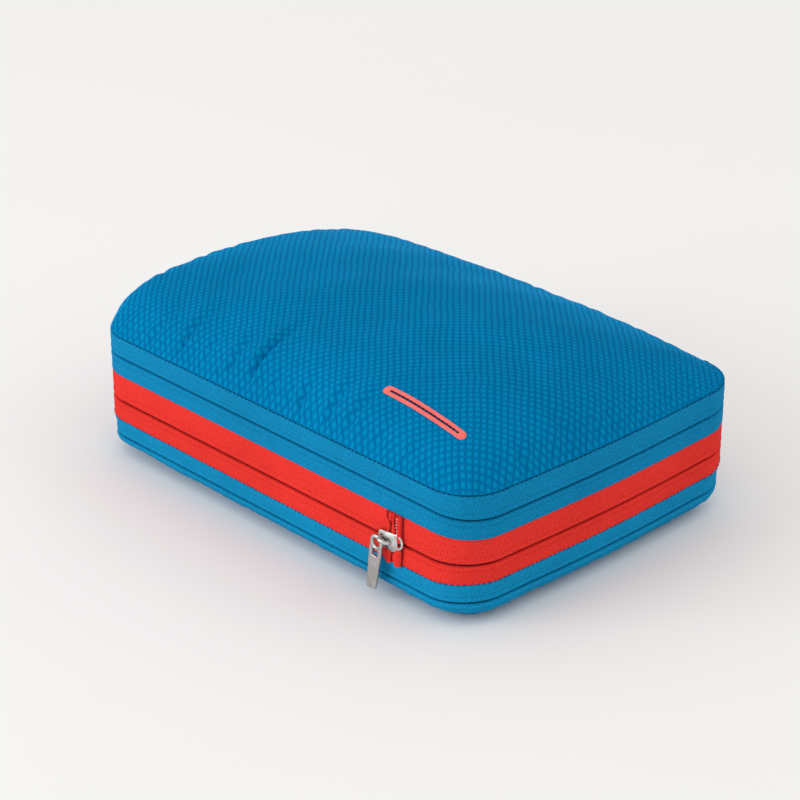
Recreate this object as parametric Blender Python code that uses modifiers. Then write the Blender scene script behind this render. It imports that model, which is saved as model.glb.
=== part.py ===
"""Double-sided compression packing cube, modelled in metres with +Z up.

The long side runs along X, the hinge sides of both lids face +Y, and the
compression zip's slider sits on the -Y side.
"""
import math

import bmesh
import bpy
from mathutils import Matrix, Vector

MM = 0.001

# Plan outline, in millimetres.
LENGTH = 270.0
WIDTH = 192.0
CORNER_RADIUS = 23.0
CORNER_STEPS = 6
LONG_SIDE_STEPS = 8
SHORT_SIDE_STEPS = 6

# Heights of the zip bands above the resting surface.
PANEL_RIM_BOTTOM_Z = 6.7
BOTTOM_TAPE_Z = 7.0
BOTTOM_SLIT_Z = 15.5
BOTTOM_BAND_TOP_Z = 25.0
COMPRESSION_SLIT_Z = 35.5
TOP_BAND_BOTTOM_Z = 47.15
TOP_SLIT_Z = 57.0
TOP_SEAM_Z = 68.35
PIECE_GAP = 0.3
HALF_SLIT = 0.7

# Soft goods thicknesses and insets from the plan outline.
TAPE_THICKNESS = 0.9
BOTTOM_WALL_INSET = 1.5
BOTTOM_SEAM_INSET = 8.0
COIL_INSET = 1.2
COIL_DEPTH = 1.6
COIL_HEIGHT = 2.2
BINDING_THICKNESS = 0.7
GUSSET_THICKNESS = 0.7

# The two lid zips stop short of the back corners.
ZIP_END_Y = 70.0
ZIP_END_GAP = 0.6
COIL_END_Y = 66.0
STOP_LENGTH = 2.2

# Where the two ends of the compression zip meet on the front side.
JUNCTION_X = 94.4
JUNCTION_GAP = 0.8

# Crown of the top panel: a full dome, steep at the -X end and the front, gentle at +X.
CROWN_HEIGHT = 34.6
CROWN_RIM_POWER = 22.0
CROWN_LEAN = 0.054
LEFT_EXPONENT = 1.8
LEFT_POWER_FRONT = 0.10
LEFT_POWER_BACK = 0.27
RIGHT_EXPONENT = 2.8
RIGHT_POWER = 0.49
FRONT_EXPONENT = 2.28
FRONT_POWER = 0.42
BACK_EXPONENT = 1.75
BACK_POWER = 0.70
PANEL_THICKNESS = 0.9

# Trim patch on the top panel.
PATCH_CENTRE = (86.5, -74.0)
PATCH_ANGLE = math.radians(1.0)
PATCH_LENGTH = 52.5
PATCH_WIDTH = 5.4
PATCH_SLOT_LENGTH = 45.0
PATCH_SLOT_WIDTH = 1.1
PATCH_LIFT = 0.45
PATCH_THICKNESS = 0.5

# Sliders and pulls.
SLIDER_LENGTH = 12.0
SLIDER_HEIGHT = 9.0
PLATE_THICKNESS = 1.3
PLATE_CLEARANCE = 0.4
INNER_PLATE_INSET = 3.2
INNER_PLATE_THICKNESS = 1.1
NECK_THICKNESS = 0.8
BAIL_RADIUS = 0.7
BAIL_STAND_OFF = 4.7
PULL_FACE = 2.2
PULL_THICKNESS = 1.3
PULL_LENGTH = 31.0
PULL_HEAD_RADIUS = 4.1
PULL_TIP_WIDTH = 6.2
PULL_HOLE_RADIUS = 1.9
COMPRESSION_SLIDER_X = 87.0
COMPRESSION_SLIDER_SAG = 2.2
TOP_SLIDER_Y = 58.0
BOTTOM_SLIDER_Y = 58.0
BOTTOM_PULL_TILT = math.radians(66.0)

RIPSTOP_BLUE = (0.010, 0.165, 0.42, 1.0)
TAPE_BLUE = (0.012, 0.23, 0.50, 1.0)
TAPE_RED = (0.80, 0.035, 0.02, 1.0)
PATCH_RED = (0.90, 0.11, 0.09, 1.0)
COIL_DARK = (0.01, 0.03, 0.07, 1.0)
COIL_RED = (0.35, 0.015, 0.015, 1.0)
LINING_BLUE = (0.02, 0.10, 0.26, 1.0)
NICKEL = (0.62, 0.62, 0.60, 1.0)


def clear_scene():
    """Remove whatever the scene holds."""
    for obj in list(bpy.data.objects):
        bpy.data.objects.remove(obj, do_unlink=True)


def make_collection(name):
    """Return a new collection linked to the scene."""
    collection = bpy.data.collections.new(name)
    bpy.context.scene.collection.children.link(collection)
    return collection


clear_scene()
CUBE = make_collection("packing_cube")
CUTTERS = make_collection("cutters")


def make_material(name, colour, roughness, metallic=0.0):
    """Return a Principled BSDF material."""
    material = bpy.data.materials.new(name)
    material.use_nodes = True
    shader = material.node_tree.nodes["Principled BSDF"]
    shader.inputs["Base Color"].default_value = colour
    shader.inputs["Roughness"].default_value = roughness
    shader.inputs["Metallic"].default_value = metallic
    material.diffuse_color = colour
    return material


def corner_arc(centre_x, centre_y, radius, start_angle, steps):
    """Points of a quarter circle, counter-clockwise."""
    points = []
    for step in range(steps + 1):
        angle = start_angle + 0.5 * math.pi * step / steps
        points.append((centre_x + radius * math.cos(angle), centre_y + radius * math.sin(angle)))
    return points


def rounded_outline(inset, subdivide=False):
    """Counter-clockwise rounded rectangle, in millimetres, starting on the +X side."""
    half_x = 0.5 * LENGTH - inset
    half_y = 0.5 * WIDTH - inset
    radius = CORNER_RADIUS - inset
    centre_x = half_x - radius
    centre_y = half_y - radius
    points = []
    points += corner_arc(centre_x, centre_y, radius, 0.0, CORNER_STEPS)
    points += corner_arc(-centre_x, centre_y, radius, 0.5 * math.pi, CORNER_STEPS)
    points += corner_arc(-centre_x, -centre_y, radius, math.pi, CORNER_STEPS)
    points += corner_arc(centre_x, -centre_y, radius, 1.5 * math.pi, CORNER_STEPS)
    if not subdivide:
        return points
    finer = []
    count = len(points)
    for index, start in enumerate(points):
        end = points[(index + 1) % count]
        finer.append(start)
        if abs(end[0] - start[0]) > 100.0:
            pieces = LONG_SIDE_STEPS
        elif abs(end[1] - start[1]) > 100.0:
            pieces = SHORT_SIDE_STEPS
        else:
            pieces = 1
        for piece in range(1, pieces):
            share = piece / pieces
            finer.append((start[0] + share * (end[0] - start[0]), start[1] + share * (end[1] - start[1])))
    return finer


def front_path(inset, end_y):
    """Open path from the +X side at end_y, round the front, to the -X side."""
    half_x = 0.5 * LENGTH - inset
    points = rounded_outline(inset)
    front = [point for point in points if point[1] < 0.0]
    left = [point for point in front if point[0] < 0.0]
    right = [point for point in front if point[0] > 0.0]
    path = [(-half_x, end_y)] + left + right + [(half_x, end_y)]
    return path


def back_path(inset, end_y):
    """Open path from the +X side at end_y, round the back, to the -X side."""
    half_x = 0.5 * LENGTH - inset
    points = [point for point in rounded_outline(inset) if point[1] > 0.0]
    return [(half_x, end_y)] + points + [(-half_x, end_y)]


def ring_path(inset, gap_x, gap_width):
    """Open path once round the outline, starting and ending on the front side."""
    half_y = 0.5 * WIDTH - inset
    points = rounded_outline(inset)
    corner_count = CORNER_STEPS + 1
    front_right = points[3 * corner_count:]
    others = points[:3 * corner_count]
    start = (gap_x + 0.5 * gap_width, -half_y)
    end = (gap_x - 0.5 * gap_width, -half_y)
    return [start] + front_right + others + [end]


def link(obj, material):
    """Link an object to the cube's collection with its material."""
    for collection in list(obj.users_collection):
        collection.objects.unlink(obj)
    CUBE.objects.link(obj)
    if obj.data.materials:
        obj.data.materials[0] = material
    else:
        obj.data.materials.append(material)
    return obj


def outward(mesh):
    """Turn every face outwards."""
    shape = bmesh.new()
    shape.from_mesh(mesh)
    bmesh.ops.remove_doubles(shape, verts=shape.verts, dist=1e-6)
    bmesh.ops.recalc_face_normals(shape, faces=shape.faces)
    shape.to_mesh(mesh)
    shape.free()


def curve_solid(name, splines, low_z, high_z):
    """Extrude closed plan outlines, in millimetres, into a solid mesh object."""
    curve = bpy.data.curves.new(name + "_outline", "CURVE")
    curve.dimensions = "2D"
    curve.fill_mode = "BOTH"
    curve.extrude = 0.5 * (high_z - low_z) * MM
    for points in splines:
        spline = curve.splines.new("POLY")
        spline.points.add(len(points) - 1)
        for point, target in zip(points, spline.points):
            target.co = (point[0] * MM, point[1] * MM, 0.0, 1.0)
        spline.use_cyclic_u = True
    holder = bpy.data.objects.new(name + "_curve", curve)
    CUTTERS.objects.link(holder)
    graph = bpy.context.evaluated_depsgraph_get()
    mesh = bpy.data.meshes.new_from_object(holder.evaluated_get(graph))
    bpy.data.objects.remove(holder, do_unlink=True)
    mesh.transform(Matrix.Translation((0.0, 0.0, 0.5 * (low_z + high_z) * MM)))
    outward(mesh)
    return bpy.data.objects.new(name, mesh)


def upright_strip(name, path_of_inset, inset, thickness, low_z, high_z, material):
    """Upright strip of constant thickness along an open path."""
    outer = path_of_inset(inset)
    inner = path_of_inset(inset + thickness)
    strip = curve_solid(name, [outer + inner[::-1]], low_z, high_z)
    return link(strip, material)


def upright_ring(name, inset, thickness, low_z, high_z, material):
    """Closed upright ring of constant thickness."""
    splines = [rounded_outline(inset), rounded_outline(inset + thickness)]
    return link(curve_solid(name, splines, low_z, high_z), material)


def lofted_strip(name, path_of_inset, levels, thickness, closed, material):
    """Strip whose inset changes with height; levels are (z, outer inset)."""
    shape = bmesh.new()
    outer_rows = []
    inner_rows = []
    for height, inset in levels:
        outer = [shape.verts.new((x * MM, y * MM, height * MM)) for x, y in path_of_inset(inset)]
        inner = [shape.verts.new((x * MM, y * MM, height * MM)) for x, y in path_of_inset(inset + thickness)]
        outer_rows.append(outer)
        inner_rows.append(inner)
    count = len(outer_rows[0])
    spans = count if closed else count - 1
    for index in range(spans):
        following = (index + 1) % count
        for row in range(len(levels) - 1):
            shape.faces.new((outer_rows[row][index], outer_rows[row][following],
                             outer_rows[row + 1][following], outer_rows[row + 1][index]))
            shape.faces.new((inner_rows[row][following], inner_rows[row][index],
                             inner_rows[row + 1][index], inner_rows[row + 1][following]))
        for row in (0, len(levels) - 1):
            shape.faces.new((outer_rows[row][index], outer_rows[row][following],
                             inner_rows[row][following], inner_rows[row][index]))
    if not closed:
        for index in (0, count - 1):
            for row in range(len(levels) - 1):
                shape.faces.new((outer_rows[row][index], outer_rows[row + 1][index],
                                 inner_rows[row + 1][index], inner_rows[row][index]))
    bmesh.ops.recalc_face_normals(shape, faces=shape.faces)
    mesh = bpy.data.meshes.new(name)
    shape.to_mesh(mesh)
    shape.free()
    return link(bpy.data.objects.new(name, mesh), material)


def smooth_share(value):
    """Smoothstep of a value clamped to 0..1."""
    value = max(0.0, min(1.0, value))
    return value * value * (3.0 - 2.0 * value)


def crown_height(x, y, edge_share, height_loss):
    """Crown height in millimetres; edge_share is 0 at the rim and 1 at the centre."""
    along = min(1.0, abs(x) / (0.5 * LENGTH))
    across = min(1.0, abs(y) / (0.5 * WIDTH))
    back = smooth_share(0.5 + y / WIDTH)
    if x < 0.0:
        power = LEFT_POWER_FRONT + (LEFT_POWER_BACK - LEFT_POWER_FRONT) * back
        profile_x = (1.0 - along ** LEFT_EXPONENT) ** power
    else:
        profile_x = (1.0 - along ** RIGHT_EXPONENT) ** RIGHT_POWER
    if y < 0.0:
        profile_y = (1.0 - across ** FRONT_EXPONENT) ** FRONT_POWER
    else:
        profile_y = (1.0 - across ** BACK_EXPONENT) ** BACK_POWER
    rise = CROWN_HEIGHT * profile_x * profile_y * (1.0 + CROWN_LEAN * x / (0.5 * LENGTH))
    return (rise - height_loss) * (1.0 - (1.0 - edge_share) ** CROWN_RIM_POWER)


def inside_outline(x, y):
    """Whether a plan point is inside the cube's outline."""
    corner_x = max(abs(x) - 0.5 * LENGTH + CORNER_RADIUS, 0.0)
    corner_y = max(abs(y) - 0.5 * WIDTH + CORNER_RADIUS, 0.0)
    within = abs(x) <= 0.5 * LENGTH and abs(y) <= 0.5 * WIDTH
    return within and math.hypot(corner_x, corner_y) <= CORNER_RADIUS


def edge_share_at(x, y):
    """Share of the way from the rim to the centre for a plan point."""
    low = 0.0
    high = 1.0
    for _ in range(40):
        middle = 0.5 * (low + high)
        if middle > 0.0 and inside_outline(x / middle, y / middle):
            high = middle
        else:
            low = middle
    return 1.0 - high


def dished_panel(name, rim_z, outer_inset, thickness, shares, height_of, material):
    """Closed shell from nested copies of the outline; height_of gives each point's height."""
    shape = bmesh.new()
    skins = []
    for skin, inset in enumerate((outer_inset, outer_inset + thickness)):
        rows = []
        own_outline = rounded_outline(inset, subdivide=True)
        outer_outline = rounded_outline(outer_inset, subdivide=True)
        for share in shares:
            row = []
            for own, outer in zip(own_outline, outer_outline):
                height = rim_z + height_of(outer[0] * (1.0 - share), outer[1] * (1.0 - share), share, skin)
                row.append(shape.verts.new((own[0] * (1.0 - share) * MM, own[1] * (1.0 - share) * MM,
                                            height * MM)))
            rows.append(row)
        centre = shape.verts.new((0.0, 0.0, (rim_z + height_of(0.0, 0.0, 1.0, skin)) * MM))
        skins.append((rows, centre))
    count = len(skins[0][0][0])
    for rows, centre in skins:
        for index in range(count):
            following = (index + 1) % count
            for row in range(len(shares) - 1):
                shape.faces.new((rows[row][index], rows[row][following],
                                 rows[row + 1][following], rows[row + 1][index]))
            shape.faces.new((rows[-1][index], rows[-1][following], centre))
    outer_rim = skins[0][0][0]
    inner_rim = skins[1][0][0]
    for index in range(count):
        following = (index + 1) % count
        shape.faces.new((outer_rim[index], outer_rim[following], inner_rim[following], inner_rim[index]))
    bmesh.ops.recalc_face_normals(shape, faces=shape.faces)
    mesh = bpy.data.meshes.new(name)
    shape.to_mesh(mesh)
    shape.free()
    return link(bpy.data.objects.new(name, mesh), material)


def apply_modifier(obj, modifier):
    """Apply one modifier to a mesh object outside any collection but the cutters'."""
    if not obj.users_collection:
        CUTTERS.objects.link(obj)
    graph = bpy.context.evaluated_depsgraph_get()
    mesh = bpy.data.meshes.new_from_object(obj.evaluated_get(graph))
    obj.modifiers.remove(modifier)
    obj.data = mesh
    outward(mesh)


def combine(base, other, operation):
    """Exact Boolean of two mesh objects; the second one is removed."""
    if not base.users_collection:
        CUTTERS.objects.link(base)
    if not other.users_collection:
        CUTTERS.objects.link(other)
    other.display_type = "WIRE"
    other.hide_render = True
    modifier = base.modifiers.new("shape", "BOOLEAN")
    modifier.operation = operation
    modifier.solver = "EXACT"
    modifier.object = other
    apply_modifier(base, modifier)
    bpy.data.objects.remove(other, do_unlink=True)


def soften(obj, width, segments):
    """Round the sharp edges of a solid."""
    modifier = obj.modifiers.new("rounding", "BEVEL")
    modifier.width = width * MM
    modifier.segments = segments
    modifier.limit_method = "ANGLE"
    modifier.angle_limit = math.radians(50.0)
    apply_modifier(obj, modifier)


def arc_points(centre_x, centre_y, radius, start_angle, end_angle, steps):
    """Points of an arc in the plate's plane."""
    points = []
    for step in range(steps + 1):
        angle = start_angle + (end_angle - start_angle) * step / steps
        points.append((centre_x + radius * math.cos(angle), centre_y + radius * math.sin(angle)))
    return points


def stand_plate(obj):
    """Turn a plate drawn in plan so that it stands in the XZ plane, facing -Y."""
    obj.data.transform(Matrix.Rotation(0.5 * math.pi, 4, "X"))


def slider_outline(length, height, mouth):
    """Shield outline: rounded at the mouth end, narrower at the other end."""
    half_length = 0.5 * length
    half_height = 0.5 * height
    tail_height = 0.72 * half_height
    points = []
    points += arc_points(half_length - 2.6, -half_height + 2.6, 2.6, -0.5 * math.pi, 0.0, 4)
    points += arc_points(half_length - 2.6, half_height - 2.6, 2.6, 0.0, 0.5 * math.pi, 4)
    points += arc_points(-half_length + 2.2, tail_height - 2.2, 2.2, 0.55 * math.pi, math.pi, 4)
    points += arc_points(-half_length + 2.2, -tail_height + 2.2, 2.2, math.pi, 1.45 * math.pi, 4)
    return [(mouth * x, y) for x, y in points]


def make_slider(name, mouth, material, sag=0.0):
    """Slider in its own frame: zip along X, outward is -Y, slit at Z = 0; sag lowers all but its neck."""
    plate = curve_solid(name, [slider_outline(SLIDER_LENGTH, SLIDER_HEIGHT, mouth)], 0.0, PLATE_THICKNESS)
    stand_plate(plate)
    plate.data.transform(Matrix.Translation((0.0, -PLATE_CLEARANCE * MM, -sag * MM)))
    soften(plate, 0.35, 2)
    inner_outline = slider_outline(SLIDER_LENGTH - 1.0, SLIDER_HEIGHT - 1.0, mouth)
    inner = curve_solid(name + "_inner", [inner_outline], 0.0, INNER_PLATE_THICKNESS)
    stand_plate(inner)
    inner_y = INNER_PLATE_INSET + INNER_PLATE_THICKNESS
    inner.data.transform(Matrix.Translation((0.0, inner_y * MM, -sag * MM)))
    neck_low = -PLATE_CLEARANCE - 0.5 * PLATE_THICKNESS
    neck_high = INNER_PLATE_INSET + 0.5 * INNER_PLATE_THICKNESS
    neck_box = [(mouth * 2.45, neck_low), (mouth * 4.8, neck_low),
                (mouth * 4.8, neck_high), (mouth * 2.45, neck_high)]
    neck = curve_solid(name + "_neck", [neck_box], -0.5 * NECK_THICKNESS, 0.5 * NECK_THICKNESS)
    combine(neck, inner, "UNION")
    combine(plate, neck, "UNION")
    bail = bpy.data.curves.new(name + "_bail", "CURVE")
    bail.dimensions = "3D"
    bail.bevel_depth = BAIL_RADIUS * MM
    bail.bevel_resolution = 3
    bail.use_fill_caps = True
    spline = bail.splines.new("POLY")
    foot = -PLATE_CLEARANCE - 0.6 * PLATE_THICKNESS
    top = -BAIL_STAND_OFF
    path = [(-3.6, foot), (-3.6, top + 1.2), (-3.3, top + 0.5), (-2.6, top), (1.2, top),
            (2.2, top + 0.6), (2.6, top + 1.5), (2.6, foot)]
    spline.points.add(len(path) - 1)
    for (x, y), target in zip(path, spline.points):
        target.co = (mouth * x * MM, y * MM, -sag * MM, 1.0)
    holder = bpy.data.objects.new(name + "_bail", bail)
    CUTTERS.objects.link(holder)
    graph = bpy.context.evaluated_depsgraph_get()
    bail_mesh = bpy.data.meshes.new_from_object(holder.evaluated_get(graph))
    bpy.data.objects.remove(holder, do_unlink=True)
    outward(bail_mesh)
    combine(plate, bpy.data.objects.new(name + "_bail_solid", bail_mesh), "UNION")
    plate.name = name
    return link(plate, material)


def make_pull(name, material, tilt=0.0):
    """Flat pull hanging from its eye at the origin, its face towards -Y."""
    half_tip = 0.5 * PULL_TIP_WIDTH
    tip_y = -PULL_LENGTH + PULL_HEAD_RADIUS
    outline = arc_points(0.0, 0.0, PULL_HEAD_RADIUS, -0.12 * math.pi, 1.12 * math.pi, 14)
    outline += arc_points(-half_tip + 1.8, tip_y + 1.8, 1.8, math.pi, 1.5 * math.pi, 4)
    outline += arc_points(half_tip - 1.8, tip_y + 1.8, 1.8, 1.5 * math.pi, 2.0 * math.pi, 4)
    eye = arc_points(0.0, 0.0, PULL_HOLE_RADIUS, 0.0, 2.0 * math.pi, 20)[:-1]
    window = arc_points(-0.9, -5.6, 0.8, 0.5 * math.pi, math.pi, 3)
    window += arc_points(-0.8, -12.6, 0.8, math.pi, 1.5 * math.pi, 3)
    window += arc_points(0.8, -12.6, 0.8, 1.5 * math.pi, 2.0 * math.pi, 3)
    window += arc_points(0.9, -5.6, 0.8, 0.0, 0.5 * math.pi, 3)
    pull = curve_solid(name, [outline, eye, window], 0.0, PULL_THICKNESS)
    soften(pull, 0.25, 2)
    stand_plate(pull)
    pull.data.transform(Matrix.Translation((0.0, -PULL_FACE * MM, 0.0)))
    pull.data.transform(Matrix.Rotation(tilt, 4, "Y"))
    return link(pull, material)


def place(obj, x, y, z, turn=0.0):
    """Put an object's origin at a point given in millimetres."""
    obj.location = (x * MM, y * MM, z * MM)
    obj.rotation_euler = (0.0, 0.0, turn)


def lid_path(inset):
    """Three-sided run of a lid zip."""
    return front_path(inset, ZIP_END_Y)


def lid_coil_path(inset):
    """Three-sided run of a lid zip's coil."""
    return front_path(inset, COIL_END_Y)


def hinge_path(inset):
    """Run of a hinge panel round the back."""
    return back_path(inset, ZIP_END_Y + ZIP_END_GAP)


def compression_path(inset):
    """Run of the compression zip, once round the cube."""
    return ring_path(inset, JUNCTION_X, JUNCTION_GAP)


def make_stops(prefix, low_z, high_z, wall_inset, material):
    """Small end stop at each end of a lid zip's coil."""
    start = COIL_END_Y + PIECE_GAP
    end = start + STOP_LENGTH
    for side, label in ((-1.0, "left"), (1.0, "right")):
        outer = side * (0.5 * LENGTH - wall_inset - COIL_INSET)
        inner = side * (0.5 * LENGTH - wall_inset - COIL_INSET - COIL_DEPTH - 0.2)
        block = [(outer, start), (inner, start), (inner, end), (outer, end)]
        link(curve_solid(prefix + "_" + label, [block], low_z, high_z), material)


def build_lower_half():
    """Pieces that stay on the lower compartment's wall."""
    blue_tape = make_material("lower_wall_tape", TAPE_BLUE, 0.75)
    red_tape = make_material("compression_lower_tape", TAPE_RED, 0.75)
    ripstop = make_material("bottom_hinge_fabric", RIPSTOP_BLUE, 0.6)
    lining = make_material("divider_fabric", LINING_BLUE, 0.8)
    binding = make_material("lower_binding_tape", LINING_BLUE, 0.8)
    coil = make_material("bottom_upper_coil_nylon", COIL_DARK, 0.4)
    red_coil = make_material("compression_lower_coil_nylon", COIL_RED, 0.4)
    stop = make_material("bottom_stop_metal", NICKEL, 0.3, 1.0)
    fold = make_material("compression_lower_fold_tape", TAPE_RED, 0.75)
    wall_levels = [(BOTTOM_SLIT_Z + HALF_SLIT, BOTTOM_WALL_INSET), (20.0, BOTTOM_WALL_INSET),
                   (22.8, 0.5), (BOTTOM_BAND_TOP_Z, 0.0)]
    hinge_levels = [(BOTTOM_TAPE_Z, BOTTOM_SEAM_INSET), (8.2, 5.4), (10.0, 3.2),
                    (12.4, BOTTOM_WALL_INSET)] + wall_levels[1:]
    lofted_strip("bottom_zip_upper_tape", lid_path, wall_levels, TAPE_THICKNESS, False, blue_tape)
    lofted_strip("bottom_hinge_panel", hinge_path, hinge_levels, TAPE_THICKNESS, False, ripstop)
    upright_strip("bottom_zip_upper_coil", lid_coil_path, BOTTOM_WALL_INSET + COIL_INSET, COIL_DEPTH,
                  BOTTOM_SLIT_Z + HALF_SLIT, BOTTOM_SLIT_Z + HALF_SLIT + COIL_HEIGHT, coil)
    make_stops("bottom_zip_stop", BOTTOM_SLIT_Z + HALF_SLIT, BOTTOM_SLIT_Z + HALF_SLIT + COIL_HEIGHT,
               BOTTOM_WALL_INSET, stop)
    upright_ring("lower_seam_binding", 2.7, BINDING_THICKNESS, 20.2, 24.0, binding)
    divider = curve_solid("divider_panel", [rounded_outline(1.4)], 24.4, 25.2)
    link(divider, lining)
    tape_low = BOTTOM_BAND_TOP_Z + PIECE_GAP
    tape_high = COMPRESSION_SLIT_Z - HALF_SLIT
    upright_strip("compression_lower_tape", compression_path, 0.0, TAPE_THICKNESS, tape_low, tape_high, red_tape)
    upright_strip("compression_lower_coil", compression_path, COIL_INSET, COIL_DEPTH,
                  tape_high - COIL_HEIGHT, tape_high, red_coil)
    front = -0.5 * WIDTH - PIECE_GAP
    fold_box = [(84.0, front - 0.6), (JUNCTION_X, front - 0.6), (JUNCTION_X, front), (84.0, front)]
    lower_fold = curve_solid("compression_lower_fold", [fold_box], 25.6, 28.4)
    link(lower_fold, fold)


def build_upper_half():
    """Pieces on the upper compartment's wall, which rises when the compression zip is open."""
    blue_tape = make_material("upper_wall_tape", TAPE_BLUE, 0.75)
    red_tape = make_material("compression_upper_tape", TAPE_RED, 0.75)
    ripstop = make_material("top_hinge_fabric", RIPSTOP_BLUE, 0.6)
    gusset = make_material("gusset_fabric", LINING_BLUE, 0.8)
    binding = make_material("upper_binding_tape", LINING_BLUE, 0.8)
    coil = make_material("top_lower_coil_nylon", COIL_DARK, 0.4)
    red_coil = make_material("compression_upper_coil_nylon", COIL_RED, 0.4)
    stop = make_material("top_stop_metal", NICKEL, 0.3, 1.0)
    fold = make_material("compression_upper_fold_tape", TAPE_RED, 0.75)
    red_low = COMPRESSION_SLIT_Z + HALF_SLIT
    red_high = TOP_BAND_BOTTOM_Z - 0.5 * PIECE_GAP
    upright_strip("compression_upper_tape", compression_path, 0.0, TAPE_THICKNESS, red_low, red_high, red_tape)
    upright_strip("compression_upper_coil", compression_path, COIL_INSET, COIL_DEPTH,
                  red_low, red_low + COIL_HEIGHT, red_coil)
    blue_low = TOP_BAND_BOTTOM_Z + 0.5 * PIECE_GAP
    blue_high = TOP_SLIT_Z - HALF_SLIT
    upright_strip("top_zip_lower_tape", lid_path, 0.0, TAPE_THICKNESS, blue_low, blue_high, blue_tape)
    upright_strip("top_zip_lower_coil", lid_coil_path, COIL_INSET, COIL_DEPTH,
                  blue_high - COIL_HEIGHT, blue_high, coil)
    make_stops("top_zip_stop", blue_high - COIL_HEIGHT, blue_high, 0.0, stop)
    upright_strip("top_hinge_panel", hinge_path, 0.0, TAPE_THICKNESS, blue_low,
                  TOP_SEAM_Z - 0.5 * PIECE_GAP, ripstop)
    upright_ring("upper_seam_binding", 1.3, BINDING_THICKNESS, 44.2, 50.4, binding)
    gusset_levels = [(25.6, 2.8), (29.0, 4.8), (32.0, 5.8), (36.0, 6.6), (40.0, 5.8), (43.4, 4.8), (46.6, 2.8)]
    lofted_strip("expansion_gusset", rounded_outline, gusset_levels, GUSSET_THICKNESS, True, gusset)
    front = -0.5 * WIDTH - PIECE_GAP
    fold_box = [(84.0, front - 0.6), (JUNCTION_X, front - 0.6), (JUNCTION_X, front), (84.0, front)]
    upper_fold = curve_solid("compression_upper_fold", [fold_box], 40.4, 46.6)
    link(upper_fold, fold)


def build_top_lid():
    """Crowned top panel with its trim, and the upper tape of the top zip."""
    blue_tape = make_material("top_upper_tape", TAPE_BLUE, 0.75)
    ripstop = make_material("top_panel_fabric", RIPSTOP_BLUE, 0.6)
    trim = make_material("trim_patch_film", PATCH_RED, 0.5)
    binding = make_material("top_binding_tape", LINING_BLUE, 0.8)
    coil = make_material("top_upper_coil_nylon", COIL_DARK, 0.4)
    tape_low = TOP_SLIT_Z + HALF_SLIT
    tape_high = TOP_SEAM_Z - 0.5 * PIECE_GAP
    upright_strip("top_zip_upper_tape", lid_path, 0.0, TAPE_THICKNESS, tape_low, tape_high, blue_tape)
    upright_strip("top_zip_upper_coil", lid_coil_path, COIL_INSET, COIL_DEPTH,
                  tape_low, tape_low + COIL_HEIGHT, coil)
    upright_strip("top_seam_binding", lid_coil_path, 1.3, BINDING_THICKNESS, 63.6, 68.0, binding)
    shares = [0.0, 0.012, 0.03, 0.06, 0.11, 0.18, 0.28, 0.42, 0.6, 0.8]
    dished_panel("top_panel", TOP_SEAM_Z + 0.5 * PIECE_GAP, 0.0, PANEL_THICKNESS, shares,
                 lambda x, y, share, skin: crown_height(x, y, share, skin * PANEL_THICKNESS), ripstop)
    patch_outline = stadium(PATCH_LENGTH, PATCH_WIDTH)
    slot_outline = stadium(PATCH_SLOT_LENGTH, PATCH_SLOT_WIDTH)
    draped_ring("top_trim_patch", patch_outline, slot_outline, trim)


def draped_ring(name, outer, inner, material):
    """Thin ring between two matching plan outlines, laid on the crown."""
    shape = bmesh.new()
    turn = Matrix.Translation((PATCH_CENTRE[0], PATCH_CENTRE[1], 0.0)) @ Matrix.Rotation(PATCH_ANGLE, 4, "Z")
    loops = []
    for points, lift in ((outer, PATCH_LIFT), (outer, PATCH_LIFT + PATCH_THICKNESS),
                         (inner, PATCH_LIFT + PATCH_THICKNESS), (inner, PATCH_LIFT)):
        loop = []
        for point in points:
            spot = turn @ Vector((point[0], point[1], 0.0))
            height = TOP_SEAM_Z + lift + crown_height(spot.x, spot.y, edge_share_at(spot.x, spot.y), 0.0)
            loop.append(shape.verts.new((spot.x * MM, spot.y * MM, height * MM)))
        loops.append(loop)
    count = len(outer)
    for index in range(count):
        following = (index + 1) % count
        for side in range(4):
            after = (side + 1) % 4
            shape.faces.new((loops[side][index], loops[side][following],
                             loops[after][following], loops[after][index]))
    bmesh.ops.recalc_face_normals(shape, faces=shape.faces)
    mesh = bpy.data.meshes.new(name)
    shape.to_mesh(mesh)
    shape.free()
    return link(bpy.data.objects.new(name, mesh), material)


def stadium(length, width):
    """Stadium outline with its straight sides divided so that it can follow the crown."""
    radius = 0.5 * width
    straight = length - width
    pieces = 10
    points = []
    for piece in range(pieces):
        points.append((-0.5 * straight + straight * piece / pieces, -radius))
    points += arc_points(0.5 * straight, 0.0, radius, -0.5 * math.pi, 0.5 * math.pi, 6)[:-1]
    for piece in range(pieces):
        points.append((0.5 * straight - straight * piece / pieces, radius))
    points += arc_points(-0.5 * straight, 0.0, radius, 0.5 * math.pi, 1.5 * math.pi, 6)[:-1]
    return points


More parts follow.
